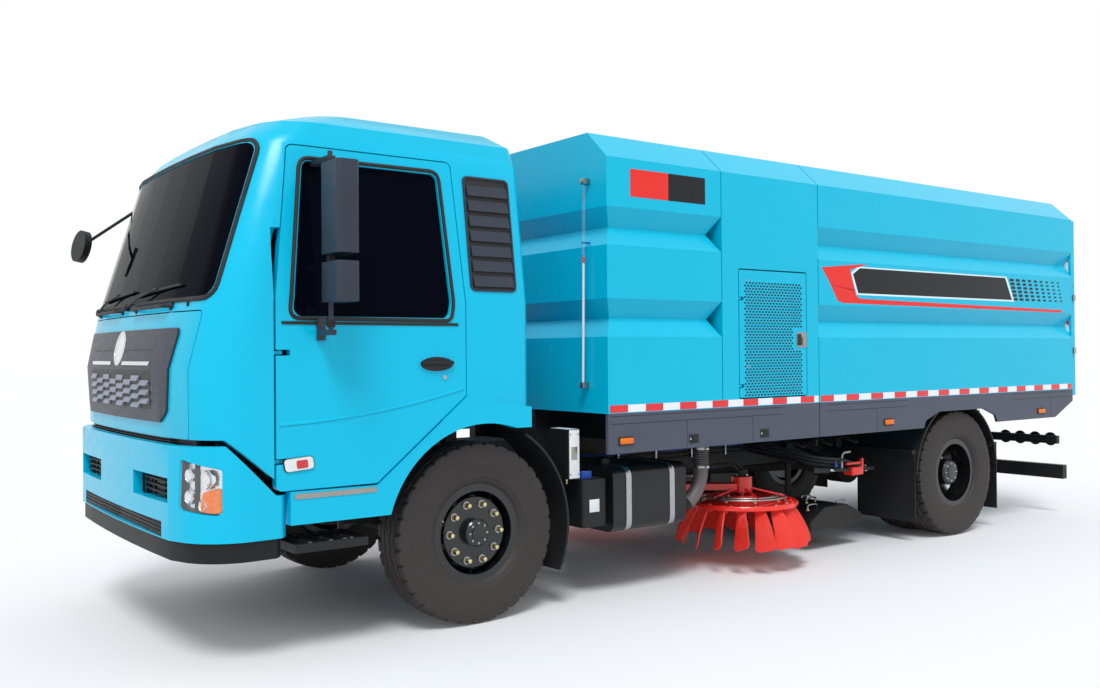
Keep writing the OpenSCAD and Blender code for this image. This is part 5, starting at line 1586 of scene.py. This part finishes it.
@dataclass
class ChassisFittings:
    """Straps, caps, clamps and small parts along the frame."""

    intake: Flat = (0.621, 1.06)
    urea_cap: Point = (1.591, 0.98, 0.7645)

    def tank(self) -> None:
        """Straps of the fuel tank and their bolts."""
        low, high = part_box("fuel_tank")
        piece = Piece("fuel_tank_fittings", "chassis")
        for x in (low.x + 0.13, high.x - 0.13):
            loop = loop_through(rect(low.y - 0.001, low.z, high.y + 0.001, 0.825), 0.07, 0.2)
            ring = [Vector((x, y, z)) for y, z in loop]
            n = len(ring)
            mid = sum(ring, Vector()) / n
            outer = [p + (p - mid).normalized() * 0.003 for p in ring]
            wide = Vector((0.022, 0, 0))
            pts = [p - wide for p in outer] + [p + wide for p in outer]
            piece.add(ZINC, Shape(pts, [(i, (i + 1) % n, (i + 1) % n + n, i + n) for i in range(n)]))
        piece.add(ZINC, *[hexagon((x, high.y - 0.004, 0.8), (0, 1, 0), 0.018, 0.01)
            for x in (low.x + 0.13, high.x - 0.13)])
        piece.done("tank_black")

    def urea(self) -> None:
        """Blue cap with grip, blank label, and the white case's valve and cover screws."""
        _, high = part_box("urea_tank")
        piece = Piece("urea_tank_fittings", "chassis")
        piece.add(BLUE, turned([(0.0, 0.0), (0.047, 0.0), (0.048, 0.004), (0.047, 0.045), (0.043, 0.0495),
            (0, 0.0495)], self.urea_cap, UP, 36))
        x, y, z = self.urea_cap
        for _, c, s in ring_of(18, 0.0475):
            piece.add(BLUE, turned([(0.0035, 0.004), (0.0035, 0.044), (0, 0.046)], (x + c, y + s, z), UP, 6))
        piece.add(WHITE, soft_block((1.56, 1.0, 0.56), (1.64, high.y + 0.0006, 0.64), 0.0005))
        piece.done("black_plastic")
        case = Piece("aftertreatment_case", "chassis")
        case.add(WHITE, soft_block((1.7155, 0.8995, 0.7795), (1.8015, 1.1005, 1.0905), 0.006))
        for z in (0.81, 1.06):
            for x in (1.728, 1.789):
                case.add(ZINC, hexagon((x, 1.1005, z), (0, 1, 0), 0.011, 0.005))
        case.add(BRUSHED, soft_block((1.735, 1.1005, 0.9), (1.782, 1.102, 0.98), 0.0008))
        case.add(NUT, turned([(0, 0), (0.012, 0), (0.012, 0.02), (0.007, 0.022), (0.007, 0.04), (0, 0.04)],
            (1.745, 1.0, 0.7795), (0, 0, -1), 12))
        case.done("black_plastic")

    def guards(self) -> None:
        """Treads on the cab steps."""
        skin = Skin("cab_steps")
        low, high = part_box("cab_steps")
        piece = Piece("step_treads", "chassis")
        for k in range(9):
            x = low.x + 0.05 + k * (high.x - low.x - 0.1) / 8
            top = skin.hit((x, high.y - 0.08, 3), (0, 0, -1))
            if top and top.z < 0.8:
                piece.both(BRUSHED, soft_block((x - 0.01, high.y - 0.15, top.z - 0.001),
                    (x + 0.01, high.y - 0.015, top.z + 0.004), 0.002))
        piece.done("black_plastic")

    def battery(self) -> None:
        """Ribs and clasps of the battery box."""
        low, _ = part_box("battery_box")
        piece = Piece("battery_box_fittings", "chassis")
        for k in range(6):
            x = 0.96 + k * 0.106
            piece.add(BLACK_PP, soft_block((x - 0.012, low.y, 0.5), (x + 0.012, low.y + 0.004, 0.8), 0.002))
        for x in (1.05, 1.42):
            piece.add(ZINC, soft_block((x - 0.015, low.y, 0.79), (x + 0.015, low.y + 0.006, 0.828), 0.002))
        piece.done("black_plastic")

    def axles(self) -> None:
        """Nuts of the U-bolts over the springs."""
        _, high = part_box("leaf_springs")
        piece = Piece("spring_clamps", "chassis")
        for x in (FRONT_AXLE_X, REAR_AXLE_X):
            for dx in (-0.07, 0.07):
                for inset in (0.012, 0.085):
                    piece.both(ZINC, hexagon((x + dx, abs(high.y) - inset, 0.66), UP, 0.026, 0.02))
        piece.done("spring_steel")

    def pipes(self) -> None:
        """Brake and wash-water lines along the rails, and their clamps."""
        piece = Piece("frame_lines", "chassis")
        for y, z, finish, r in ((0.432, 0.83, BLUE, 0.007), (0.434, 0.8, RUBBER, 0.009), (0.432, 0.77, RUBBER, 0.006)):
            path = [(2.0 - 0.17 * k, y, z + 0.006 * sin(k * 1.7)) for k in range(22)]
            piece.both(finish, swept(path, r, 8))
        for k in range(10):
            x = 1.95 - 0.37 * k
            piece.both(ZINC, soft_block((x - 0.008, 0.424, 0.755), (x + 0.008, 0.444, 0.845), 0.002))
        piece.done("frame_black")

    def hose(self) -> None:
        """Three steel clamps on the intake pipe and the rings of the hose below them."""
        piece = Piece("air_hose_clamps", "chassis")
        for z in (0.965, 0.9, 0.775):
            piece.add(BRUSHED, turned(rect(0.0551, -0.008, 0.0572, 0.008), (*self.intake, z), UP, 40))
            piece.add(ZINC, soft_block((0.606, 1.114, z - 0.008), (0.636, 1.128, z + 0.008), 0.002))
        for k in range(9):
            piece.add(RUBBER, turned([(0.0548, -0.004), (0.0575, 0.0), (0.0548, 0.004)],
                (*self.intake, 0.79 + 0.012 * k), UP, 40))
        piece.done("grey_hose")

    def gear(self) -> None:
        """Lift rods, brackets and hoses between the brooms and the rear wheels."""
        piece = Piece("nozzle_lift_gear", "chassis")
        rod = [(-0.6, 1.035, 0.655), (-1.02, 1.035, 0.628)]
        piece.both(CHROME, swept(rod, 0.013, 12))
        piece.both(BLACK_PP, swept([rod[0], (-0.78, 1.035, 0.643)], 0.024, 16))
        piece.both(RED_ENAMEL, soft_block((-1.16, 0.99, 0.585), (-1.02, 1.08, 0.65), 0.008),
            soft_block((-1.16, 1.055, 0.645), (-1.135, 1.08, 0.715), 0.004), soft_block((-1.15, 1.058, 0.672),
            (-0.96, 1.076, 0.69), 0.004))
        piece.both(ZINC, swept(curve([(-0.94, 1.04, 0.635), (-0.94, 1.04, 0.735), (-0.965, 1.04, 0.765),
            (-1.04, 1.04, 0.77)], 4), 0.009, 8))
        piece.both(CHASSIS, swept([(-0.6, 0.44, 0.79), (-0.6, 1.00, 0.665), (-0.6, 1.06, 0.655)], 0.022, 10),
            swept([(-1.09, 0.44, 0.79), (-1.09, 0.99, 0.615)], 0.02, 10))
        for k, (lift, out) in enumerate(((0.0, 0.0), (0.025, 0.03), (0.05, 0.055), (-0.03, 0.045))):
            run = curve([(-0.44 - 0.03 * k, 0.445, 0.8 + lift), (-0.55, 0.7 + out, 0.76 + lift),
                (-0.66, 0.93 + out, 0.7 + lift), (-0.92, 1.00 + out, 0.665 + lift),
                (-1.2 - 0.05 * k, 0.98 + out, 0.62), (-1.38, 0.84, 0.66 + lift), (-1.46, 0.445, 0.76)], 6)
            piece.both(RUBBER, swept(run, 0.013, 8))
        for k in range(3):
            x = -0.6 - 0.33 * k
            piece.both(RUBBER, swept(curve([(x, 0.445, 0.81), (x - 0.05, 0.66, 0.87), (x - 0.13, 0.84, 0.81),
                (x - 0.22, 0.7, 0.85), (x - 0.26, 0.445, 0.8)], 5), 0.011, 8))
        for x, z, finish in ((-1.2, 0.6, NUT), (-1.25, 0.605, NUT), (-0.88, 0.66, BLUE)):
            piece.both(finish, turned([(0, 0), (0.014, 0), (0.014, 0.03), (0.009, 0.034), (0.009, 0.05), (0, 0.05)],
                (x, 1.03, z), (0.2, 0, 1), 10))
        piece.done("frame_black")

    def build(self) -> None:
        """Everything on the chassis."""
        self.tank()
        self.urea()
        self.guards()
        self.battery()
        self.axles()
        self.pipes()
        self.hose()
        self.gear()


# ---- body


@dataclass
class BodyDress:
    """Markings, latches, lamps, perforations and seams of tank, bay and hopper."""

    side_y: float = 1.25
    front: float = 1.606
    seam: float = -0.419
    tail: float = -4.13
    tape_l: float = 0.15
    tape_gap: float = 0.001
    tape_z: Flat = (1.19, 1.237)
    holes: tuple[int, int] = (40, 19)
    hole_pitch: Flat = (0.0325, 0.02)

    def flat(self, side: Side, corners: Sequence[Flat], height: float = 0.0008, base: float = 0.0) -> Shape:
        """A thin plate on the side wall."""
        y = side.value * (self.side_y + base)
        return slab(corners, lambda u, v, h: (u, y + side.value * h, v), height)

    def tape(self, side: Side) -> None:
        """Red and white reflective segments along the foot of the walls.

        Args:
            side: Side of the truck.
        """
        spans = (("chassis", "body_tape", self.front - 0.012, self.seam + 0.014),
            ("hopper", "hopper_tape", self.seam - 0.012, self.tail + 0.02))
        for body, name, x0, x1 in spans:
            piece = Piece(f"{side.label}_{name}", body)
            x, k = x0, 0
            while x - 0.03 > x1:
                end = max(x - self.tape_l, x1)
                piece.add(TAPE_RED if k % 2 == 0 else TAPE_WHITE, self.flat(side,
                    rect(end + self.tape_gap, self.tape_z[0], x - self.tape_gap, self.tape_z[1]), 0.0009))
                x, k = end, k + 1
            piece.done("cyan_paint")

    def skirts(self, side: Side) -> None:
        """Seams, latches and side markers on the skirts.

        Args:
            side: Side of the truck.
        """
        s = side.value
        front = Piece(f"{side.label}_front_skirt_fittings", "chassis")
        rear = Piece(f"{side.label}_rear_skirt_fittings", "hopper")
        for piece, x0, x1, cuts in ((front, self.front - 0.02, self.seam + 0.35, (0.93, 0.3)),
                (rear, -0.5, -1.5, (-1.1,)), (rear, -3.05, -4.1, (-3.72,))):
            node = Skin("front_skirts") if piece is front else Skin("hopper_skirts")
            on = partial(node.side, sign=s)
            for z in (1.118, 1.166):
                met = [x0 - 0.1 * k for k in range(int((x0 - x1) / 0.1) + 1) if node.hit((x0 - 0.1 * k, s * 3, z),
                    (0, -s, 0))]
                if len(met) > 1:
                    piece.add(BLACK_ABS_AND_PAINTED_SHADE, slab(rect(met[-1], z - 0.002, met[0], z + 0.002), on, 0.0006))
            for x in cuts:
                if node.hit((x, s * 3, 1.0), (0, -s, 0)):
                    piece.add(BLACK_ABS_AND_PAINTED_SHADE, slab(rect(x - 0.002, 0.94, x + 0.002, 1.118), on, 0.0006))
        for piece, x, z in ((front, 1.463, 1.01), (rear, -1.249, 1.004), (rear, -3.543, 1.000)):
            y = s * self.side_y
            piece.add(BLACK_PP, soft_block((x - 0.062, y, z - 0.026), (x + 0.062, y + s * 0.006, z + 0.026), 0.004))
            piece.add(AMBER, soft_block((x - 0.054, y, z - 0.019), (x + 0.054, y + s * 0.016, z + 0.019), 0.006, 3))
        for x in (0.87, 0.18):
            y = s * self.side_y
            # painted shade: a dark block for the handle pocket
            front.add(BLACK_ABS_AND_PAINTED_SHADE, soft_block((x - 0.045, y, 0.962), (x + 0.045, y + s * 0.003, 1.022), 0.003))
            front.add(BLACK_PP, soft_block((x - 0.034, y, 0.97), (x + 0.028, y + s * 0.009, 1.014), 0.004))
            front.add(ZINC, disc(0.008, 0.004, (x + 0.036, y + s * 0.003, 0.992), (0, s, 0), 16))
        front.done("skirt_grey")
        rear.done("skirt_grey")

    def service_door(self, side: Side) -> None:
        """Perforated field, latch, and hinges of a service door.

        Args:
            side: Side of the truck.
        """
        s = side.value
        piece = Piece(f"{side.label}_service_door_fittings", f"{side.label}_service_door")
        y = s * self.side_y
        (rows, columns), (wide, high) = self.holes, self.hole_pitch
        for row in range(rows):
            for column in range(columns):
                x = -0.218 + column * wide + (wide / 2 if row % 2 else 0)
                z = 1.262 + row * high
                if x < 0.376 and not (x < -0.135 and 1.57 < z < 1.725):
                    ring = [(x + px, z + pz) for px, pz in ((-0.0115, 0), (-0.0075, -0.0065), (0.0075, -0.0065),
                        (0.0115, 0), (0.0075, 0.0065), (-0.0075, 0.0065))]
                    piece.add(MESH_HOLE, Shape([Vector((u, y + s * 0.0005, v)) for u, v in ring], [tuple(range(6))]))
        piece.add(BRUSHED, soft_block((-0.275, y, 1.592), (-0.165, y + s * 0.004, 1.702), 0.003))
        piece.add(BLACK_ABS_AND_PAINTED_SHADE, soft_block((-0.215, y, 1.606), (-0.172, y + s * 0.008, 1.69), 0.004))
        piece.add(BRUSHED, soft_block((-0.264, y, 1.606), (-0.222, y + s * 0.012, 1.666), 0.005))
        piece.add(ZINC, disc(0.01, 0.006, (-0.22, y + s * 0.004, 1.684), (0, s, 0), 20))
        for z in (1.37, 1.97):
            for x in (0.335, 0.356):
                piece.add(ZINC, turned([(0.006, 0), (0.006, 0.002), (0, 0.003)], (x, y, z + 0.09), (0, s, 0), 12))
        piece.done("skirt_grey")

    def graphics(self, side: Side) -> None:
        """Cut-film shapes on the hopper and the blank two-colour plate on the tank.

        Args:
            side: Side of the truck.
        """
        piece = Piece(f"{side.label}_hopper_stripes", "hopper")
        piece.add(VINYL_WHITE, self.flat(side, [(-0.795, 2.155), (-0.89, 2.207), (-2.985, 2.207), (-3.11, 1.99),
            (-0.868, 1.99)], 0.0005))
        piece.add(VINYL_RED, self.flat(side, [(-0.455, 2.185), (-1.000, 2.232), (-0.93, 2.212), (-0.79, 2.18),
            (-0.845, 2.02), (-0.56, 2.06)]))
        piece.add(VINYL_RED, self.flat(side, [(-0.553, 2.062), (-0.845, 2.025), (-0.862, 1.985), (-0.905, 1.962),
            (-0.7, 1.925), (-0.64, 1.94)]))
        piece.add(VINYL_RED, self.flat(side, [(-0.7, 1.925), (-0.905, 1.962), (-3.943, 1.93), (-3.943, 1.907)]))
        piece.add(VINYL_BLACK, self.flat(side, [(-0.823, 2.148), (-0.91, 2.196), (-2.96, 2.196), (-3.07, 2.004),
            (-0.885, 2.004)], 0.001))
        for row in range(6):
            for column in range(9):
                x, z = -3.07 - column * 0.1 - 0.012 * (5 - row), 2.012 + row * 0.034
                w, t = 0.036 * (1 - column / 16), 0.0125 * (1 - column / 18)
                ring = [(x + w * px, z + t * pz) for px, pz in ((1, -0.6), (1, 0.6), (0.7, 1), (-0.7, 1), (-1, 0.6),
                    (-1, -0.6), (-0.7, -1), (0.7, -1))]
                y = side.value * (self.side_y + 0.0006)
                piece.add(VINYL_BLACK, Shape([Vector((u, y, v)) for u, v in ring], [tuple(range(8))]))
        piece.done("cyan_paint")
        plate = Piece(f"{side.label}_tank_plate", "chassis")
        plate.add(VINYL_RED, self.flat(side, rect(1.085, 2.552, 1.411, 2.728), 0.0015))
        plate.add(VINYL_BLACK, self.flat(side, rect(0.748, 2.552, 1.083, 2.728), 0.0015))
        plate.done("cyan_paint")

    def gauge(self) -> None:
        """Sight tube on the front wall of the tank, with its brackets and float."""
        piece = Piece("level_gauge", "chassis")
        skin = Skin("water_tank")
        x = 1.64
        top, low = Vector((x, 1.068, 2.65)), Vector((x, 1.045, 1.36))
        piece.add(LENS, swept([low, low.lerp(top, 0.5), top], 0.011, 12))
        piece.add(WHITE, swept([low, low.lerp(top, 0.62)], 0.008, 10))
        piece.add(RED_LENS, turned(rect(0, -0.02, 0.0095, 0.02), low.lerp(top, 0.615), UP, 16))
        for p in (low, top):
            wall = skin.front(p.y, p.z)
            piece.add(BRUSHED, soft_block((wall.x, p.y - 0.022, p.z - 0.018), (x + 0.018, p.y + 0.022, p.z + 0.018),
                0.004))
        for t in (0.33, 0.7):
            p = low.lerp(top, t)
            wall = skin.front(p.y, p.z)
            if x - wall.x < 0.1:
                piece.add(BLUE, soft_block((wall.x, p.y - 0.006, p.z - 0.006), (x + 0.014, p.y + 0.006, p.z + 0.006),
                    0.002))
        piece.done("tank_black")

    def tail_end(self) -> None:
        """Rear lamp clusters, reflective bars, door clamps and a blank plate seat."""
        piece = Piece("rear_lamps", "chassis")
        x = -4.005
        for k, finish in enumerate((AMBER, RED_LENS, RED_LENS, LENS)):
            y = 1.09 - 0.15 * k
            piece.both(BLACK_PP, turned([(0.0, 0), (0.062, 0), (0.064, 0.006), (0.058, 0.014)], (x, y, 0.709),
                (-1, 0, 0), 32))
            piece.both(BOWL if finish is LENS else finish, turned([(0.056, 0.01), (0.054, 0.019), (0.04, 0.025),
                (0.02, 0.028), (0, 0.029)], (x, y, 0.709), (-1, 0, 0), 32))
        piece.both(TAPE_RED, soft_block((-4.0955, 0.75, 0.36), (-4.0945, 1.15, 0.44), 0.0004))
        piece.both(TAPE_WHITE, soft_block((-4.0955, 0.3, 0.36), (-4.0945, 0.7, 0.44), 0.0004))
        piece.add(WHITE, soft_block((x - 0.003, -0.22, 0.65), (x, 0.22, 0.76), 0.001))
        piece.done("frame_black")
        door = Piece("rear_door_fittings", "rear_door")
        for s in (1, -1):
            for z in (1.55, 2.05):
                y = s * self.side_y
                door.add(ZINC, soft_block((-4.185, y - s * 0.002, z - 0.03), (-4.145, y + s * 0.012, z + 0.03), 0.004))
        door.done("cyan_paint")

    def build(self) -> None:
        """Everything on the body."""
        for side in Side:
            self.tape(side)
            self.skirts(side)
            self.service_door(side)
            self.graphics(side)
        self.gauge()
        self.tail_end()


# ---- sweeping gear


@dataclass
class Broom:
    """A disc broom: red disc, splayed filament paddles, spray ring and motor."""

    side: Side
    centre: Flat = BROOM_HUB
    disc_z: float = 0.44
    disc_r: float = 0.405
    root_r: float = 0.35
    tip_r: float = 0.462
    reach: float = 0.518
    tip_z: float = 0.153
    paddles: int = 17

    def paddle(self, angle: float, twist: float, lift: float) -> Shape:
        """One flat bundle under the disc: splayed, turned about its own length, its tip cut square with worn corners.

        Args:
            angle: Where it stands round the hub.
            twist: How far its face turns from the rim's direction.
            lift: How much shorter it is worn.

        Returns:
            The shape.
        """
        outwards, along = Vector((cos(angle), sin(angle), 0)), Vector((-sin(angle), cos(angle), 0))
        hub = Vector((self.centre[0], self.centre[1] * self.side.value, 0))
        root = outwards * self.root_r + Vector((0, 0, self.disc_z + 0.006))
        tip = outwards * self.tip_r + Vector((0, 0, self.tip_z + 0.01 + lift))
        down = (tip - root).normalized()
        square = down.cross(along).normalized()
        wide = along * cos(twist) + square * sin(twist)
        face = square * cos(twist) - along * sin(twist)
        rows, across = 6, 13
        draw = random.Random(int(angle * 1000))
        worn = [draw.uniform(0.0, 0.007) + (0.03 if k in (0, across) else 0.012 if k in (1, across - 1) else 0.0)
            for k in range(across + 1)]
        points: list[Vector] = []
        for way in (-1, 1):
            for i in range(rows + 1):
                t = i / rows
                half, thick = 0.036 + 0.044 * t ** 0.8, 0.009 - 0.004 * t
                for k in range(across + 1):
                    u = -1 + 2 * k / across
                    ridge = 0.0016 * (1 if k % 2 else -1)
                    p = root.lerp(tip, t) + square * 0.018 * sin(pi * t * 0.8) + wide * u * half
                    p += face * way * (thick * (1 - 0.5 * u * u) + ridge) - down * worn[k] * t ** 3
                    reach = hypot(p.x, p.y)
                    keep = min(1.0, self.reach / reach)
                    points.append(hub + Vector((p.x * keep, p.y * keep, max(p.z, self.tip_z))))
        row = across + 1
        layer = (rows + 1) * row
        faces = []
        for i in range(rows):
            for k in range(across):
                q = (i * row + k, i * row + k + 1, (i + 1) * row + k + 1, (i + 1) * row + k)
                faces.append(tuple(reversed(q)))
                faces.append(tuple(j + layer for j in q))
        rim = list(range(row)) + [i * row + across for i in range(1, rows + 1)]
        rim += [rows * row + k for k in range(across - 1, -1, -1)] + [i * row for i in range(rows - 1, 0, -1)]
        faces += [(m, n, n + layer, m + layer) for m, n in zip(rim, rim[1:] + rim[:1])]
        return Shape(points, faces)

    def disc(self) -> Shape:
        """The pressed disc with its raised rim and hub.

        Returns:
            The shape.
        """
        r = self.disc_r
        return turned([(0, 0.0), (r - 0.016, 0.0), (r, 0.005), (r, 0.026), (r - 0.006, 0.034), (r - 0.014, 0.034),
            (r - 0.02, 0.022), (r - 0.11, 0.022), (r - 0.12, 0.033), (r - 0.15, 0.033), (r - 0.16, 0.022),
            (0.175, 0.022), (0.16, 0.034), (0.105, 0.036), (0.098, 0.068), (0.0, 0.068)],
            (self.centre[0], self.centre[1] * self.side.value, self.disc_z), UP, 64)

    def build(self) -> None:
        """Disc with paddles, then what stays on the arm."""
        label, s = self.side.label, self.side.value
        cx, cy = self.centre[0], self.centre[1] * s
        piece = Piece(f"{label}_broom_disc", f"{label}_broom")
        piece.add(RED_ENAMEL, self.disc())
        for _, c, q in ring_of(12, 0.33):
            piece.add(ZINC, hexagon((cx + c, cy + q, self.disc_z + 0.022), UP, 0.017, 0.008))
        for k in range(self.paddles):
            a = tau * k / self.paddles
            piece.add(BRISTLE, self.paddle(a, radians(34 + 16 * sin(2 * a + 0.6)), 0.016 * ((k * 7) % 5) / 4))
            piece.add(RED_ENAMEL, turned([(0.0, -0.02), (0.035, -0.02), (0.04, 0.012), (0.0, 0.02)],
                (cx + 0.352 * cos(a), cy + 0.352 * sin(a), self.disc_z + 0.001), (cos(a), sin(a), -1.8), 12))
        piece.done("red_bristle", 40, [f"{label}_broom"])
        spray = Piece(f"{label}_spray_ring", f"{label}_broom_arm")
        arcs = [[(cx + r * cos(a), cy + s * r * sin(a), z) for a in (radians(-30 + 7.5 * k) for k in range(31))] for r,
            z in ((0.312, 0.504), (0.262, 0.512))]
        for arc in arcs:
            spray.add(BRUSHED, swept(arc, 0.009, 10))
        for k in range(0, 31, 6):
            spray.add(BRUSHED, swept([arcs[0][k], arcs[1][k]], 0.006, 8))
        arc = arcs[0]
        for k in range(2, 31, 5):
            p = Vector(arc[k])
            spray.add(NUT, turned([(0, 0), (0.01, 0), (0.01, 0.01), (0.006, 0.014), (0, 0.014)],
                p - Vector((0, 0, 0.006)), (0, 0, -1), 8))
        for k in (4, 13, 22):
            p, inner = Vector(arc[k]), Vector((cx, cy, 0.575))
            spray.add(RED_ENAMEL, swept([p, p.lerp(inner, 0.45), inner], 0.008, 8))
        spray.add(CASTING, turned([(0, 0), (0.06, 0), (0.062, 0.01), (0.062, 0.055), (0.045, 0.065), (0.045, 0.105),
            (0, 0.11)], (cx, cy, 0.59), UP, 32))
        for _, c, q in ring_of(4, 0.052):
            spray.add(ZINC, hexagon((cx + c, cy + q, 0.653), UP, 0.016, 0.01))
        for dx in (-0.02, 0.03):
            hose = curve([(cx + dx, cy, 0.69), (cx + dx + 0.06, cy - s * 0.04, 0.735),
                (cx + 0.22, cy - s * 0.16, 0.72), (cx + 0.4, cy - s * 0.29, 0.66)], 5)
            spray.add(RUBBER, swept(hose, 0.01, 8))
        spray.add(BLUE, swept([(cx + 0.16 + 0.018 * cos(a), cy - s * 0.12, 0.722 + 0.022 * sin(a))
            for a in (tau * k / 12 for k in range(12))], 0.003, 6, True))
        spray.done("red_paint")


@dataclass
class Nozzle:
    """Rubber skirts, bolts and handles of the suction nozzle, and the rings of its hose."""

    hose_at: Flat = (-0.919, -0.64)

    def build(self) -> None:
        """Trim of nozzle and hose."""
        piece = Piece("nozzle_fittings", "suction_nozzle")
        for x in (-1.289, -0.669):
            way = -1 if x < -1 else 1
            piece.both(RUBBER, soft_block((x, 0.0, 0.172), (x + way * 0.01, 0.945, 0.225), 0.003))
        for y in (0.2, 0.5, 0.8):
            piece.both(ZINC, hexagon((-0.66, y, 0.205), (1, 0, 0), 0.016, 0.008))
            piece.both(ZINC, hexagon((-1.298, y, 0.205), (-1, 0, 0), 0.016, 0.008))
        skin = Skin("suction_nozzle")
        for x, y in ((-0.8, 0.86), (-1.16, 0.86), (-0.98, 0.7), (-0.8, 0.5), (-1.16, 0.5)):
            top = skin.hit((x, y, 0.9), (0, 0, -1))
            if top and top.z < 0.5:
                piece.both(ZINC, swept(curve([top + Vector((-0.05, 0, -0.004)), top + Vector((-0.05, 0, 0.035)),
                    top + Vector((0.05, 0, 0.035)), top + Vector((0.05, 0, -0.004))], 4), 0.007, 8))
                piece.both(NUT, hexagon(top + Vector((0.08, 0.02, -0.001)), UP, 0.022, 0.012))
        piece.done("frame_black")
        hose = Piece("suction_hose_clamps", "chassis")
        lowest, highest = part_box("suction_hose")
        for z in (lowest.z + 0.05, highest.z - 0.1):
            hose.add(BRUSHED, turned(rect(0.1055, -0.01, 0.108, 0.01), (*self.hose_at, z), UP, 40))
        count = int((highest.z - lowest.z - 0.22) / 0.026)
        for k in range(count):
            hose.add(SMOKE_HOSE, turned([(0.103, -0.006), (0.1085, 0), (0.103, 0.006)],
                (*self.hose_at, lowest.z + 0.09 + 0.026 * k), UP, 40))
        hose.done("grey_hose")


# ---- studio


@dataclass
class Studio:
    """Pale floor, soft light and the camera.

    Attributes:
        eye: Where the camera stands.
        yaw_deg: Its heading from +X.
        pitch_deg: Its tilt above level.
        roll_deg: Its lean.
        lens_mm: Focal length on a 36 mm wide film.
        sun: Strength of the key light.
        fill: Strength of the sky on the truck.
    """

    eye: Point = (5.738, 6.207, 1.57)
    yaw_deg: float = 233.364
    pitch_deg: float = 0.462
    roll_deg: float = 0.44
    lens_mm: float = 34.0
    sun: float = 2.0
    fill: float = 0.78

    def camera(self) -> None:
        """Sets the camera."""
        yaw, pitch, roll = (radians(a) for a in (self.yaw_deg, self.pitch_deg, self.roll_deg))
        forward = Vector((cos(yaw) * cos(pitch), sin(yaw) * cos(pitch), sin(pitch)))
        right = forward.cross(Vector(UP)).normalized()
        up = right.cross(forward)
        x = right * cos(roll) - up * sin(roll)
        y = up * cos(roll) + right * sin(roll)
        data = bpy.data.cameras.new("camera")
        data.lens = self.lens_mm
        data.sensor_width = 36.0
        data.clip_end = 200.0
        cam = bpy.data.objects.new("camera", data)
        cam.matrix_world = Matrix(((x.x, y.x, -forward.x, self.eye[0]), (x.y, y.y, -forward.y, self.eye[1]),
            (x.z, y.z, -forward.z, self.eye[2]), (0, 0, 0, 1)))
        bpy.context.scene.collection.objects.link(cam)
        bpy.context.scene.camera = cam

    def pale(self, tree: Tree) -> Socket:
        """1 on rays that come from the camera, a mirror or glass.

        Args:
            tree: Node tree.

        Returns:
            Socket with 0 or 1.
        """
        rays = add_node(tree, "LightPath")
        some = add_node(tree, "Math", {0: rays.outputs["Is Camera Ray"], 1: rays.outputs["Is Glossy Ray"]},
            operation="MAXIMUM")
        return add_node(tree, "Math", {0: some, 1: rays.outputs["Is Transmission Ray"]},
            operation="MAXIMUM").outputs[0]

    def floor(self) -> None:
        """A wide pale floor that keeps the shadow and fades into the backdrop."""
        mesh = bpy.data.meshes.new("floor")
        work = bmesh.new()
        bmesh.ops.create_circle(work, cap_ends=True, radius=120.0, segments=96)
        work.to_mesh(mesh)
        work.free()
        obj = bpy.data.objects.new("floor", mesh)
        bpy.context.scene.collection.objects.link(obj)
        paint = bpy.data.materials.new("pale_floor")
        paint.use_nodes = True
        tree = paint.node_tree
        tree.nodes.clear()
        place = add_node(tree, "TexCoord").outputs["Object"]
        cloud = add_node(tree, "TexNoise", {"Vector": place, "Scale": per_mm(2500), "Detail": 3.0})
        tint = add_node(tree, "Mix", {0: cloud.outputs["Fac"], 6: linear("#E4E6E9"), 7: linear("#DFE1E5")},
            data_type="RGBA")
        matt = add_node(tree, "BsdfDiffuse", {"Color": tint.outputs[2]})
        glow = add_node(tree, "Emission", {"Color": (1, 1, 1, 1), "Strength": 1.0})
        squeezed = add_node(tree, "VectorMath", {0: place, 1: (0.25, 0.62, 0.0)}, operation="MULTIPLY")
        away = add_node(tree, "VectorMath", {0: squeezed.outputs["Vector"]}, operation="LENGTH")
        share = add_node(tree, "MapRange", {"Value": away.outputs["Value"], "From Min": 0.6, "From Max": 2.6,
            "To Min": 0.0, "To Max": 0.85}, interpolation_type="SMOOTHSTEP")
        mixed = add_node(tree, "Math", {0: share, 1: self.pale(tree)}, operation="MULTIPLY", use_clamp=True)
        both = add_node(tree, "MixShader", {0: mixed, 1: matt.outputs["BSDF"], 2: glow.outputs["Emission"]})
        add_node(tree, "OutputMaterial", {"Surface": both.outputs["Shader"]})
        mesh.materials.append(paint)

    def light(self) -> None:
        """A broad soft key from the upper front left and an even sky."""
        data = bpy.data.lights.new("key", "SUN")
        data.energy = self.sun
        data.angle = radians(20)
        key = bpy.data.objects.new("key", data)
        key.rotation_euler = Vector((0.55, 0.75, 1.35)).to_track_quat("Z", "Y").to_euler()
        bpy.context.scene.collection.objects.link(key)
        world = bpy.data.worlds.new("sky")
        world.use_nodes = True
        tree = world.node_tree
        tree.nodes.clear()
        seen = self.pale(tree)
        strength = add_node(tree, "MapRange", {"Value": seen, "From Min": 0.0, "From Max": 1.0, "To Min": self.fill,
            "To Max": 1.0})
        glow = add_node(tree, "Background", {"Color": (1.0, 1.0, 1.0, 1.0), "Strength": strength})
        add_node(tree, "OutputWorld", {"Surface": glow.outputs["Background"]})
        bpy.context.scene.world = world

    def build(self) -> None:
        """Camera, floor and light."""
        self.camera()
        self.floor()
        self.light()
        bpy.context.scene.view_settings.view_transform = "Standard"


def main() -> None:
    """Builds the truck's looks piece by piece."""
    logging.basicConfig(level=logging.INFO, format="%(name)s %(message)s")
    Studio().build()
    PaintShop().build()
    Wheels().build()
    CabFront().build()
    CabSides().build()
    Bumper().build()
    Cabin().build()
    ChassisFittings().build()
    BodyDress().build()
    for side in Side:
        Broom(side).build()
    Nozzle().build()


if __name__ == "__main__":
    main()
